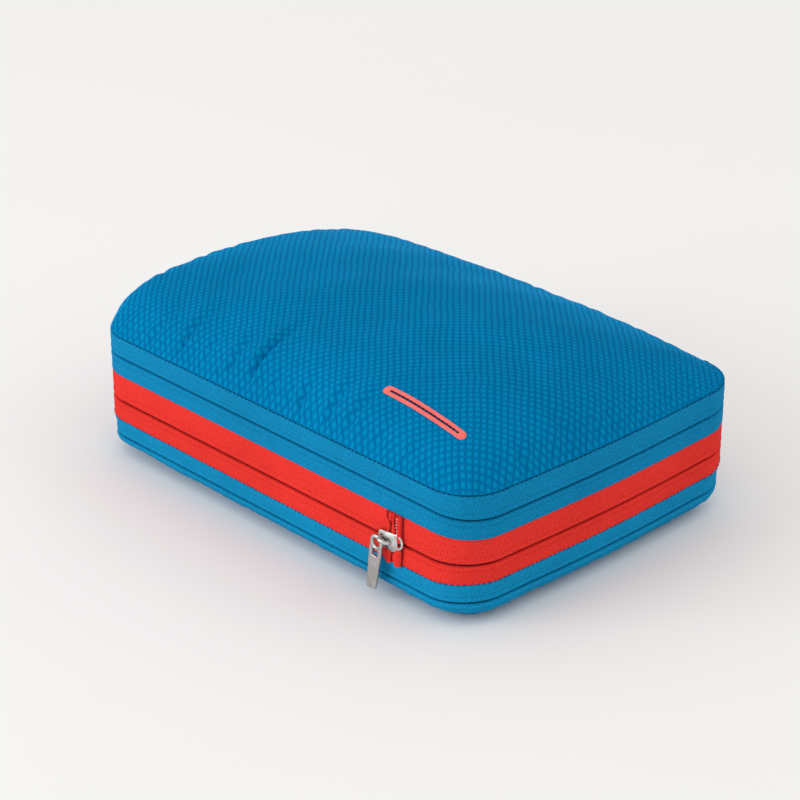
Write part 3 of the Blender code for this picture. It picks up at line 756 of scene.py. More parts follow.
def grid_faces(rows: int, columns: int, looped: bool = False) -> list[tuple[int, ...]]:
    """List the faces of a grid of points.

    Args:
        rows: Number of rows.
        columns: Points in a row.
        looped: Whether the last row and point meet the first ones.

    Returns:
        Corner indices, with the points counted row after row.
    """
    spare = 0 if looped else 1
    faces = []
    for row in range(rows - spare):
        low = row * columns
        high = (row + 1) % rows * columns
        for column in range(columns - spare):
            beside = (column + 1) % columns
            faces.append((low + column, low + beside, high + beside, high + column))
    return faces


def shell_faces(rows: int, columns: int, closed: bool) -> list[tuple[int, ...]]:
    """List the faces of a thin shell made of an outer and an inner grid.

    Args:
        rows: Points across the shell.
        columns: Points along the shell.
        closed: Whether the last column meets the first.

    Returns:
        Corner indices; the inner grid's points follow the outer grid's.
    """
    outer = grid_faces(rows, columns)
    inner = rows * columns
    faces = outer + [(inner + b, inner + a, inner + d, inner + c) for a, b, c, d in outer]
    last = inner - columns
    for a in range(columns - 1):
        faces.append((a + 1, a, inner + a, inner + a + 1))
        faces.append((last + a, last + a + 1, inner + last + a + 1, inner + last + a))
    if not closed:
        for a in range(0, last, columns):
            b = a + columns
            faces.append((a, b, inner + b, inner + a))
            faces.append((b + columns - 1, b - 1, inner + b - 1, inner + b + columns - 1))
    return faces


@dataclass
class Strip:
    """A strip of cloth that runs round the outline with a given upright profile."""

    name: str
    start: float
    end: float
    profile: Sequence[tuple[float, float]]
    material: Material
    thickness: float = 0.6
    closed: bool = False
    step: float = 1.8
    relief: Callable[[Array, Array], Array] | None = None

    def build(self) -> Piece:
        """Build the strip.

        Returns:
            The strip; its cloth coordinates run along and across it in millimetres.
        """
        columns = max(3, round((self.end - self.start) / self.step) + 1)
        distance = np.linspace(self.start, self.end, columns)
        points, facing = OUTLINE.walk(distance)
        profile = np.array(self.profile, float)
        across = np.concatenate([[0.0], np.cumsum(np.hypot(*np.diff(profile, axis=0).T))])
        grids = []
        cloth = []
        for depth in (0.0, self.thickness):
            for (height, inset), run in zip(profile, across):
                level = np.full(columns, height)
                out = self.relief(distance, level) if self.relief else 0.0 * level
                grids.append(np.column_stack([points + (out - inset - depth)[:, None] * facing, level]))
                cloth.append(np.column_stack([distance, np.full(columns, run)]))
        placed = OUTLINE.settle(np.concatenate(grids))
        faces = shell_faces(len(profile), columns, self.closed)
        return make_piece(self.name, placed, faces, self.material, np.concatenate(cloth))


class RepeatShape(Enum):
    """Small shapes that are set along a path."""

    STITCH = "stitch"
    COIL_TOOTH = "coil_tooth"


@dataclass
class PathRepeater:
    """Geometry Nodes tree that sets one small shape along a path at an even spacing."""

    shape: RepeatShape
    sockets: dict[str, str] = field(default_factory=dict)
    tree: bpy.types.NodeTree | None = None

    def build(self) -> "PathRepeater":
        """Build the tree and keep the identifiers of its inputs.

        Returns:
            The repeater itself.
        """
        tree = bpy.data.node_groups.new("cube_" + self.shape.value + "_row", "GeometryNodeTree")
        tree.is_modifier = True
        kinds = dict.fromkeys(("Spacing", "Length", "Thickness", "Height", "Unevenness"), "Float")
        for label, kind in {"Geometry": "Geometry", **kinds, "Seed": "Int", "Material": "Material"}.items():
            socket = tree.interface.new_socket(label, in_out="INPUT", socket_type="NodeSocket" + kind)
            self.sockets[label] = socket.identifier
        tree.interface.new_socket("Geometry", in_out="OUTPUT", socket_type="NodeSocketGeometry")
        sketch = Sketch(tree)
        given = sketch.given()
        path = sketch.node("GeometryNodeMeshToCurve", {"Mesh": given["Geometry"]})
        evened = sketch.node("GeometryNodeResampleCurve",
                             {"Curve": path.outputs["Curve"], "Length": given["Spacing"]}, mode="LENGTH")
        facing = sketch.node("GeometryNodeInputNamedAttribute", {"Name": "facing"}, data_type="FLOAT_VECTOR")
        tangent = sketch.node("GeometryNodeInputTangent")
        turn = sketch.node("FunctionNodeAxesToRotation", {"Primary Axis": tangent.outputs[0],
                                                          "Secondary Axis": facing.outputs["Attribute"]},
                           primary_axis="X", secondary_axis="Z")
        size = sketch.node("ShaderNodeCombineXYZ",
                           {0: given["Length"], 1: given["Thickness"], 2: given["Height"]})
        least, most = (sketch.vector(change, (1.0, 1.0, 1.0), given["Unevenness"])
                       for change in ("SUBTRACT", "ADD"))
        chance = sketch.node("FunctionNodeRandomValue", {0: least, 1: most, "Seed": given["Seed"]},
                             data_type="FLOAT_VECTOR")
        placed = sketch.node("GeometryNodeInstanceOnPoints", {
            "Points": evened.outputs["Curve"], "Instance": self.small_shape(sketch),
            "Rotation": turn.outputs[0],
            "Scale": sketch.vector("MULTIPLY", size.outputs[0], chance.outputs[0])})
        real = sketch.node("GeometryNodeRealizeInstances", {0: placed.outputs[0]})
        dressed = sketch.node("GeometryNodeSetMaterial",
                              {"Geometry": real.outputs[0], "Material": given["Material"]})
        sketch.node("NodeGroupOutput", {0: dressed.outputs[0]})
        self.tree = tree
        return self

    def small_shape(self, sketch: Sketch) -> Socket:
        """Build the small shape, one unit in size.

        Args:
            sketch: Sketch of the tree.

        Returns:
            Its geometry socket.
        """
        if self.shape is RepeatShape.STITCH:
            made = sketch.node("GeometryNodeMeshUVSphere", {"Segments": 6, "Rings": 5, "Radius": 0.5})
        else:
            loop, section = (
                sketch.node("GeometryNodeCurvePrimitiveCircle", {"Resolution": count, "Radius": radius})
                for count, radius in ((8, 0.5), (4, 0.16)))
            made = sketch.node("GeometryNodeCurveToMesh", {"Curve": loop.outputs["Curve"],
                                                           "Profile Curve": section.outputs["Curve"]})
        turned = sketch.node("GeometryNodeTransform",
                             {"Geometry": made.outputs["Mesh"], "Rotation": (0.0, 0.5 * math.pi, 0.0)})
        return sketch.node("GeometryNodeSetShadeSmooth", {"Geometry": turned.outputs[0]}).outputs[0]

    def row(self, name: str, points: Array, facing: Array, material: Material, seed: int, body: Body,
            slot: str, *nodes: str, **sizes: float) -> Piece:
        """Set the shape along a path, as one plain mesh on its body.

        Args:
            name: Name of the piece.
            points: Path points in millimetres.
            facing: Outward direction at each point.
            material: Finish of the shapes.
            seed: Seed of the small size differences.
            body: Body it moves with.
            slot: Material slot of the record.
            nodes: Names of the CAD nodes it stands for.
            sizes: Spacing, Length, Thickness and Height in millimetres, and Unevenness.

        Returns:
            The piece.
        """
        mesh = bpy.data.meshes.new(name)
        mesh.from_pydata((points * MM).tolist(), [(index, index + 1) for index in range(len(points) - 1)], [])
        layer = mesh.attributes.new("facing", "FLOAT_VECTOR", "POINT")
        layer.data.foreach_set("vector", facing.astype(np.float32).ravel())
        path = link_object(name, mesh)
        modifier = path.modifiers.new("row", "NODES")
        modifier.node_group = self.tree
        for label, value in sizes.items():
            modifier[self.sockets[label]] = value * (1.0 if label == "Unevenness" else MM)
        modifier[self.sockets["Seed"]] = seed
        modifier[self.sockets["Material"]] = material
        piece = flatten_modifiers(path)
        for leftover in ("facing", "UVMap"):
            if leftover in piece.data.attributes:
                piece.data.attributes.remove(piece.data.attributes[leftover])
        LOG.info("%s: %d faces", name, len(piece.data.polygons))
        return set_piece(piece, body, slot, *nodes)


# ---------------------------------------------------------------- zip tapes and walls

TOP_PANEL_Z = 68.5
TOP_SEAM_Z = 68.35
TOP_SLIT_Z = 57.0
TOP_BORDER_Z = 47.15
COMPRESSION_SLIT_Z = 35.5
LOWER_BORDER_Z = 25.15
BOTTOM_SLIT_Z = 15.5
BOTTOM_SEAM_Z = 6.85
HALF_SLIT = 0.42
ZIP_END_Y = 70.0
LEFT_ZIP_END = OUTLINE.distance_on_left(ZIP_END_Y)
RIGHT_ZIP_END = OUTLINE.distance_on_right(ZIP_END_Y) + OUTLINE.round_trip
HINGE_START = sum(length for _, length in OUTLINE.legs[:4]) + 8.0
HINGE_END = sum(length for _, length in OUTLINE.legs[:5]) - 8.0


class SeamEdge(Enum):
    """How a tape's sewn edge is finished."""

    TUCKED = "tucked"
    LAPPED = "lapped"


def lower_wall_inset(height: Array) -> Array:
    """Return how far the lower wall draws in under the cube, by height."""
    return np.interp(height, (6.9, 7.0, 8.2, 10.0, 12.4, 20.0, 22.8, 25.0),
                     (8.6, 8.0, 5.4, 3.2, 1.5, 1.5, 0.5, 0.0))


def upright_inset(height: Array) -> Array:
    """Return the inset of the straight upper walls, which is none."""
    return np.zeros_like(height)


@dataclass
class ZipTape:
    """One woven half of a zip, from its sewn edge to the slit."""

    name: str
    body: Body
    nodes: tuple[str, ...]
    slot: str
    material: Material
    seam_z: float
    slit_z: float
    start: float
    end: float
    seam_edge: SeamEdge = SeamEdge.TUCKED
    inset: Callable[[Array], Array] = upright_inset
    ripple: Ripple = Ripple(3, 0.12)
    half_slit: float = HALF_SLIT
    slit_rows: tuple = ((0.0, -1.2), (0.1, -0.6), (0.3, -0.18), (0.65, 0.04), (1.1, 0.15), (1.7, 0.18),
                        (2.2, 0.09), (2.6, -0.07), (3.1, -0.05), (3.8, 0.03))

    @property
    def toward(self) -> float:
        """Direction from the slit to the seam, 1 upwards and -1 downwards."""
        return math.copysign(1.0, self.seam_z - self.slit_z)

    @property
    def edge_z(self) -> float:
        """Height of the edge that forms the slit."""
        return self.slit_z + self.toward * self.half_slit

    @property
    def reach(self) -> float:
        """Height of the tape that shows."""
        return abs(self.edge_z - self.seam_z)

    def profile(self) -> list[tuple[float, float]]:
        """Lay out the tape's section.

        Returns:
            Height and inset of each row, from the lowest up.
        """
        height = self.reach
        rows = list(self.slit_rows)
        for share in (0.25, 0.5, 0.75):
            rows.append((3.8 + share * (height - 5.6), 0.03 + 0.10 * math.sin(math.pi * share)))
        if self.seam_edge is SeamEdge.TUCKED:
            rows += [(height - 1.6, 0.03), (height - 0.95, -0.10), (height - 0.45, -0.34),
                     (height - 0.15, -0.75), (height, -1.3)]
        else:
            rows += [(height - 1.5, 0.07), (height - 0.8, 0.13), (height - 0.3, 0.13),
                     (height - 0.06, 0.02), (height, -0.5)]
        placed = sorted((self.edge_z + self.toward * away, out) for away, out in rows)
        insets = self.inset(np.array([z for z, _ in placed]))
        return [(z, inset - out) for (z, out), inset in zip(placed, insets)]

    def relief(self, distance: Array, height: Array) -> Array:
        """Find how far the tape stands out of its profile.

        Args:
            distance: Distances round the outline.
            height: Height of each point.

        Returns:
            The relief in millimetres.
        """
        away = np.abs(height - self.edge_z)
        held = smooth(away, 1.0, 4.0) * (1.0 - 0.6 * smooth(away, self.reach - 2.5, self.reach))
        return held * self.ripple.at(distance) + 0.25 * (1.0 - held) * self.ripple.at(distance + 31.0)

    def build(self) -> Piece:
        """Build the tape, set it on its body and let it stand for its CAD nodes.

        Returns:
            The tape.
        """
        strip = Strip(self.name, self.start, self.end, self.profile(), self.material, relief=self.relief)
        return set_piece(strip.build(), self.body, self.slot, *self.nodes)

    def path(self, away: float, stand: float, step: float = 1.5,
             beyond: float = 0.0) -> tuple[Array, Array]:
        """Trace a path along the tape.

        Args:
            away: Distance from the slit's edge.
            stand: How far the path stands out of the tape's base.
            step: Distance between its points.
            beyond: How far it runs on past both ends of the tape.

        Returns:
            The path's points and their outward directions.
        """
        count = int((self.end - self.start + 2.0 * beyond) / step) + 1
        distance = np.linspace(self.start + 0.5 - beyond, self.end - 0.5 + beyond, count)
        points, facing = OUTLINE.walk(distance)
        height = np.full(count, self.edge_z + self.toward * away)
        out = stand - self.inset(height) + self.relief(distance, height)
        path = np.column_stack([points + out[:, None] * facing, height])
        return OUTLINE.settle(path), np.column_stack([facing, np.zeros(count)])


@dataclass
class Walls:
    """The six zip tapes with their coils and stitches."""

    looks: Looks
    stitches: PathRepeater
    teeth: PathRepeater
    coil_shows_to_y: float = 65.5

    def tape(self, node: str, body: Body, look: str, seam_z: float, slit_z: float, **rest: object) -> ZipTape:
        """Plan one tape.

        Args:
            node: CAD node it stands for.
            body: Body it moves with.
            look: Its finish.
            seam_z: Height of its sewn edge.
            slit_z: Height of its zip's slit.
            rest: Fields that differ from the usual ones.

        Returns:
            The tape.
        """
        ends = (0.4, OUTLINE.round_trip - 0.4) if look == "red" else (LEFT_ZIP_END, RIGHT_ZIP_END)
        slot = "zip_tape_red" if look == "red" else "zip_tape_blue"
        return ZipTape(node + "_cloth", body, (node,), slot, self.looks[look], seam_z, slit_z, *ends, **rest)

    def tapes(self) -> list[ZipTape]:
        """Plan the tapes.

        Returns:
            The six tapes from the top down.
        """
        lapped = SeamEdge.LAPPED
        tucked_under = 0.5
        return [
            self.tape("top_zip_upper_tape", Body.TOP_LID, "blue", TOP_SEAM_Z, TOP_SLIT_Z,
                      ripple=Ripple(11, 0.14)),
            self.tape("top_zip_lower_tape", Body.UPPER_WALL, "blue", TOP_BORDER_Z, TOP_SLIT_Z,
                      seam_edge=lapped, ripple=Ripple(12, 0.12)),
            self.tape("compression_upper_tape", Body.UPPER_WALL, "red", TOP_BORDER_Z + tucked_under,
                      COMPRESSION_SLIT_Z, ripple=Ripple(13, 0.14), half_slit=0.55),
            self.tape("compression_lower_tape", Body.LOWER_WALL, "red", LOWER_BORDER_Z, COMPRESSION_SLIT_Z,
                      seam_edge=lapped, ripple=Ripple(14, 0.14), half_slit=0.55),
            # The lower zip's tapes use the lighter copy of the blue tape, painted light against the floor's
            # shade.
            self.tape("bottom_zip_upper_tape", Body.LOWER_WALL, "lower_blue_painted_lighter", LOWER_BORDER_Z + tucked_under,
                      BOTTOM_SLIT_Z, inset=lower_wall_inset, ripple=Ripple(15, 0.20)),
            self.tape("bottom_zip_lower_tape", Body.BOTTOM_LID, "lower_blue_painted_lighter", BOTTOM_SEAM_Z, BOTTOM_SLIT_Z,
                      inset=lower_wall_inset, ripple=Ripple(16, 0.24, 5.0)),
        ]

    def build(self) -> list[ZipTape]:
        """Build the tapes, then the coil behind each, a row of stitches on each and a second row on each
        lapped tape.

        Returns:
            The tapes, top down.
        """
        tapes = self.tapes()
        for number, tape in enumerate(tapes):
            tape.build()
            node = tape.nodes[0]
            coil_node = node.replace("_tape", "_coil")
            red = tape.slot == "zip_tape_red"
            # The coil's dark colour is partly the coil's own and partly painted shade in the slit.
            coil = "coil_red" if red else "coil_dark"
            thread = self.looks["thread_red" if red else "thread_blue"]
            points, facing = tape.path(1.15, -2.0, 1.2)
            kept = red | (points[:, 1] < self.coil_shows_to_y)
            self.teeth.row(coil_node + "_teeth", points[kept], facing[kept], self.looks[coil], number + 2,
                           tape.body, coil, coil_node, Spacing=1.35, Length=2.2, Thickness=2.0, Height=1.5,
                           Unevenness=0.03)
            self.stitches.row(node + "_coil_stitches", *tape.path(2.62, 0.0), thread, number + 20, tape.body,
                              tape.slot, Spacing=2.3, Length=1.75, Thickness=0.26, Height=0.22,
                              Unevenness=0.12)
            if tape.seam_edge is SeamEdge.LAPPED:
                self.stitches.row(node + "_edge_stitches", *tape.path(tape.reach - 0.75, 0.14), thread,
                                  number + 40, tape.body, tape.slot, Spacing=2.6, Length=1.9, Thickness=0.3,
                                  Height=0.26, Unevenness=0.12)
        self.close_corners(tapes[1], tapes[0], "top", Body.UPPER_WALL)
        self.close_corners(tapes[5], tapes[4], "bottom", Body.LOWER_WALL)
        return tapes

    @staticmethod
    def close_corners(lower: ZipTape, upper: ZipTape, label: str, body: Body) -> None:
        """Run a blue zip's sewn-shut ends round the two back corners to the hinge cloth.

        Args:
            lower: Tape below the slit.
            upper: Tape above the slit.
            label: Start of the names.
            body: Body that carries the hinge.
        """
        def relief(distance: Array, height: Array) -> Array:
            """Carry on the unevenness of both tapes."""
            return np.where(height < lower.slit_z, lower.relief(distance, height),
                            upper.relief(distance, height))

        gap = 0.12
        overlap = 0.1
        runs = (("right", OUTLINE.distance_on_right(ZIP_END_Y + gap), HINGE_START - overlap),
                ("left", HINGE_END + overlap, OUTLINE.distance_on_left(ZIP_END_Y + gap)))
        for side, start, end in runs:
            strip = Strip(f"{label}_zip_closed_end_{side}", start, end, lower.profile() + upper.profile(),
                          upper.material, step=1.2, relief=relief)
            set_piece(strip.build(), body, "zip_tape_blue", label + "_hinge_panel")


# ---------------------------------------------------------------- panels


@dataclass(frozen=True)
class Crease:
    """A soft fold pressed into the panel from a point on the seam towards the middle."""

    edge: tuple[float, float]
    inner: tuple[float, float]
    depth: float
    width: float = 2.2

    def press(self, x: Array, y: Array) -> Array:
        """Press the fold.

        Args:
            x: Plan positions.
            y: Plan positions.

        Returns:
            How far the fold moves the cloth outwards there, in millimetres.
        """
        start = np.array(self.edge)
        run = np.array(self.inner) - start
        length = float(np.hypot(*run))
        run /= length
        along = ((x - start[0]) * run[0] + (y - start[1]) * run[1]) / length
        curve = 0.9 * np.sin(math.pi * np.clip(along, 0.0, 1.0))
        aside = (x - start[0]) * run[1] - (y - start[1]) * run[0] - curve
        width = self.width * (0.7 + 0.9 * np.clip(along, 0.0, 1.0))
        section = (0.55 * np.exp(-((aside - 1.7 * width) / (1.3 * width)) ** 2)
                   + 0.7 * np.exp(-((aside + 1.7 * width) / (1.3 * width)) ** 2)
                   - 1.0 * np.exp(-(aside / width) ** 2))
        held = smooth(along, 0.0, 0.18) * (1.0 - smooth(along, 0.45, 1.05)) * (along > 0.0)
        return 1.9 * self.depth * held * section


@dataclass
class Dome:
    """Shape of the stuffed top: steep at the -X end and the front, gentle at +X."""

    height: float = 34.6
    rim_power: float = 22.0
    lean: float = 0.054
    left: Point = (1.8, 0.10, 0.27)
    right: tuple[float, float] = (2.8, 0.49)
    front: tuple[float, float] = (2.28, 0.42)
    back: tuple[float, float] = (1.75, 0.70)
    ease: float = 0.2
    corner_drop: float = 0.55
    creases: list[Crease] = field(default_factory=list)

    def share(self, x: Array, y: Array) -> Array:
        """Find how far plan points are from the rim.

        Args:
            x: Plan positions.
            y: Plan positions.

        Returns:
            0 at the rim and 1 at the middle.
        """
        ax = np.maximum(np.abs(x), 1e-6)
        ay = np.maximum(np.abs(y), 1e-6)
        box = np.maximum(ax / HALF_X, ay / HALF_Y)
        core = np.array([HALF_X, HALF_Y]) - OUTLINE.corner
        a = ax ** 2 + ay ** 2
        b = core[0] * ax + core[1] * ay
        c = core @ core - OUTLINE.corner ** 2
        round_part = 1.0 / ((b + np.sqrt(np.maximum(b * b - a * c, 0.0))) / a)
        in_corner = (ax / box > core[0]) & (ay / box > core[1])
        return 1.0 - np.minimum(np.where(in_corner, round_part, box), 1.0)

    def rise(self, x: Array, y: Array, share: Array) -> Array:
        """Find the height above the seam.

        Args:
            x: Plan positions.
            y: Plan positions.
            share: How far each is from the rim, 0 to 1.

        Returns:
            Heights in millimetres.
        """
        along = np.clip(np.abs(x) / HALF_X, 0.0, 1.0)
        across = np.clip(np.abs(y) / HALF_Y, 0.0, 1.0)
        left_power = self.left[1] + (self.left[2] - self.left[1]) * smooth(y, -HALF_Y, HALF_Y)
        shape_x = np.where(x < 0.0, (1.0 - along ** self.left[0]) ** left_power,
                           (1.0 - along ** self.right[0]) ** self.right[1])
        shape_y = np.where(y < 0.0, (1.0 - across ** self.front[0]) ** self.front[1],
                           (1.0 - across ** self.back[0]) ** self.back[1])
        full = self.height * shape_x * shape_y * (1.0 + self.lean * x / HALF_X)
        full = full * (1.0 - self.corner_drop * smooth(x, 108.0, 134.0) * smooth(y, 0.0, 70.0))
        return full * (1.0 - (1.0 - share) ** self.rim_power)

    def slack(self, x: Array, y: Array, share: Array) -> Array:
        """Find the soft unevenness of the stuffed cloth.

        Args:
            x: Plan positions.
            y: Plan positions.
            share: How far each is from the rim, 0 to 1.

        Returns:
            Height differences in millimetres.
        """
        lumps = (0.55 * np.sin(x / 21.0 + 0.6) * np.sin(y / 17.0 + 1.1)
                 + 0.35 * np.sin(x / 11.0 - y / 14.0 + 2.0) + 0.22 * np.sin(x / 7.5 + y / 9.0 + 0.4))
        return lumps * smooth(share, 0.02, 0.35) + self.folds(x, y)

    def folds(self, x: Array, y: Array) -> Array:
        """Return what all the creases add at plan points."""
        return sum(crease.press(x, y) for crease in self.creases)

    def surface(self, x: Array, y: Array, share: Array | None = None) -> Array:
        """Find the height of the cloth's outside.

        Args:
            x: Plan positions.
            y: Plan positions.
            share: How far each is from the rim, 0 to 1, where it is known.

        Returns:
            Heights in millimetres.
        """
        share = self.share(x, y) if share is None else share
        return TOP_PANEL_Z + self.rise(x, y, share) + self.slack(x, y, share)

    def cloth_place(self, x: Array, y: Array) -> Array:
        """Find the cloth coordinates of plan points, measured over the dome.

        Args:
            x: Plan positions.
            y: Plan positions.

        Returns:
            Cloth coordinates in millimetres, one row each.
        """
        reach = (136, 97)
        grids = [np.arange(-half, half + 1.0) for half in reach]
        mesh_x, mesh_y = np.meshgrid(*grids, indexing="ij")
        height = self.rise(mesh_x, mesh_y, self.share(mesh_x, mesh_y))
        runs = []
        for axis, grid in enumerate(grids):
            slope = np.gradient(height, grid, axis=axis)
            run = np.cumsum(1.0 + self.ease * (np.sqrt(1.0 + slope ** 2) - 1.0), axis=axis)
            runs.append(run - np.take(run, [reach[axis]], axis=axis))
        place_x, place_y = (np.clip(place + half, 0.0, 2.0 * half - 0.01)
                            for place, half in zip((x, y), reach))
        cell_x, cell_y = place_x.astype(int), place_y.astype(int)
        part_x, part_y = place_x - cell_x, place_y - cell_y
        found = []
        for run in runs:
            low = run[cell_x, cell_y] * (1 - part_x) + run[cell_x + 1, cell_y] * part_x
            high = run[cell_x, cell_y + 1] * (1 - part_x) + run[cell_x + 1, cell_y + 1] * part_x
            found.append(low * (1 - part_y) + high * part_y)
        return np.column_stack(found)


@dataclass
class Panel:
    """A cloth panel spanned from the outline to a spine along the middle."""

    name: str
    body: Body
    node: str
    slot: str
    material: Material
    thickness: float = 0.6
    spine: float = 39.0 / 135.0
    step: float = 2.0
    corner_step: float = 1.6

    def columns(self) -> tuple[Array, Array]:
        """Sample the outline so that front and back points lie opposite each other.

        Returns:
            Points and outward directions, once round.
        """
        lengths = [length for _, length in OUTLINE.legs]
        half_back, turn, side = 0.5 * lengths[4], lengths[3], 0.5 * lengths[2]
        run = [np.linspace(0.0, half_back, int(half_back / self.step) + 1)]
        for begun, length, step in ((half_back, turn, self.corner_step), (half_back + turn, side, self.step)):
            run.append(begun + np.linspace(0.0, length, int(length / step) + 1)[1:])
        once_round = []
        for line in OUTLINE.walk(sum(lengths[:4]) + half_back - np.concatenate(run)):
            quarters = [line[::-1], (line * (-1.0, 1.0))[1:], -line[::-1][1:], (line * (1.0, -1.0))[1:]]
            once_round.append(np.concatenate(quarters))
        return once_round[0], once_round[1]

    def shares(self) -> Array:
        """Return the rings from the rim to the spine, close together at the rim."""
        near = [0.004, 0.009, 0.015, 0.022, 0.03, 0.039, 0.049, 0.06, 0.072, 0.085, 0.099, 0.114]
        return np.concatenate([near, np.linspace(0.132, 1.0, 46)])

    def height_at(self, x: Array, y: Array, share: Array) -> Array:
        """Return the heights of one ring."""
        raise NotImplementedError

    def rim_rows(self) -> list[tuple[float, float]]:
        """Return inset and height of the rows tucked into the seam, outermost last."""
        raise NotImplementedError

    def cloth_at(self, x: Array, y: Array) -> Array:
        """Return the cloth coordinates of plan points."""
        return np.column_stack([x, y])

    def outset(self, points: Array, share: float) -> Array:
        """Return extra outward movement of one ring, in millimetres."""
        raise NotImplementedError

    def build(self) -> Piece:
        """Build the panel, give it its thickness and set it on its body.

        Returns:
            The panel.
        """
        rim, facing = self.columns()
        count = len(rim)
        rows = []
        cloth = []
        for inset, height in self.rim_rows():
            rows.append(np.column_stack([rim - inset * facing, np.full(count, height)]))
            cloth.append(self.cloth_at(*rim.T) + facing * (2.0 - inset))
        for share in self.shares():
            x = rim[:, 0] * (1.0 - share + share * self.spine)
            y = rim[:, 1] * (1.0 - share)
            height = self.height_at(x, y, np.full(count, share))
            out = self.outset(rim, share)[:, None] * facing
            rows.append(np.column_stack([x + out[:, 0], y + out[:, 1], height]))
            cloth.append(self.cloth_at(x, y))
        points = OUTLINE.settle(np.concatenate(rows))
        piece = make_piece(self.name, points, grid_faces(len(rows), count), self.material,
                           np.concatenate(cloth))
        wall = piece.modifiers.new("wall", "SOLIDIFY")
        wall.thickness = self.thickness * MM
        wall.offset = -1.0
        return set_piece(flatten_modifiers(piece), self.body, self.slot, self.node)


@dataclass
class TopPanel(Panel):
    """The stuffed top panel."""

    dome: Dome = field(default_factory=Dome)
    pucker: Ripple = Ripple(31, 0.34, 4.5, 16.0, 9)

    def height_at(self, x: Array, y: Array, share: Array) -> Array:
        """Return the dome's heights with the cloth's slack."""
        return self.dome.surface(x, y, share)

    def rim_rows(self) -> list[tuple[float, float]]:
        """Return the seam allowance and the first rounded row."""
        return [(1.5, 68.46), (0.6, 68.5), (0.15, 68.62)]

    def outset(self, points: Array, share: float) -> Array:
        """Pucker the cloth beside the seam.

        Args:
            points: Points of the rim.
            share: How far the ring is from the rim, 0 to 1.

        Returns:
            Outward movement of the ring's points.
        """
        distance = np.concatenate([[0.0], np.cumsum(np.hypot(*np.diff(points, axis=0).T))])
        strength = math.sin(math.pi * min(1.0, share / 0.12) ** 0.6)
        x = points[:, 0] * (1.0 - share + share * self.spine)
        y = points[:, 1] * (1.0 - share)
        folds = 0.75 * (1.0 - smooth(points[:, 1], -60.0, 20.0)) * self.dome.folds(x, y)
        return strength * self.pucker.at(distance) + folds * (1.0 - smooth(share, 0.1, 0.3))

    def cloth_at(self, x: Array, y: Array) -> Array:
        """Return cloth coordinates measured over the dome."""
        return self.dome.cloth_place(x, y)


@dataclass
class BottomPanel(Panel):
    """The flat panel the cube stands on."""

    def rim_rows(self) -> list[tuple[float, float]]:
        """Return the seam allowance and the first rounded row."""
        return [(9.4, 6.74), (8.6, 6.70), (8.15, 6.55)]

    def shares(self) -> Array:
        """Return the rings from the rim to the spine."""
        near = [0.008, 0.016, 0.026, 0.038, 0.052, 0.068, 0.086, 0.106, 0.128, 0.152, 0.18]
        return np.concatenate([near, np.linspace(0.215, 1.0, 22)])

    def height_at(self, x: Array, y: Array, share: Array) -> Array:
        """Round the edge down to the resting plane.

        Args:
            x: Plan positions.
            y: Plan positions.
            share: How far each is from the rim, 0 to 1.

        Returns:
            Heights in millimetres.
        """
        drop = np.interp(share, (0.0, 0.012, 0.03, 0.06, 0.1, 0.15), (0.0, 2.2, 4.1, 5.7, 6.5, 6.7))
        wave = 0.10 * np.sin(x / 9.0) * np.sin(y / 8.0) * smooth(share, 0.0, 0.05)
        return 6.7 - drop + np.abs(wave) + 0.02

    def outset(self, points: Array, share: float) -> Array:
        """Draw the rings in to the bottom seam."""
        return np.full(len(points), -8.0 * (1.0 - share))


@dataclass
class DividerSheet(Panel):
    """The lining sheet between the compartments."""

    def rim_rows(self) -> list[tuple[float, float]]:
        """Return the edge held in the seam."""
        return [(1.5, 25.1), (1.9, 25.1)]

    def shares(self) -> Array:
        """Return even rings."""
        return np.linspace(0.0, 1.0, 34)[1:]

    def height_at(self, x: Array, y: Array, share: Array) -> Array:
        """Let the sheet ripple a little between its seams."""
        wave = 0.16 * np.sin(x / 8.0 + 0.7) * np.sin(y / 10.0) + 0.10 * np.sin(x / 19.0 + y / 13.0)
        return 25.0 + wave * smooth(share, 0.0, 0.15)

    def outset(self, points: Array, share: float) -> Array:
        """Keep the sheet inside the seam."""
        return np.full(len(points), -1.9 * (1.0 - share))


# ---------------------------------------------------------------- inner cloth and trims


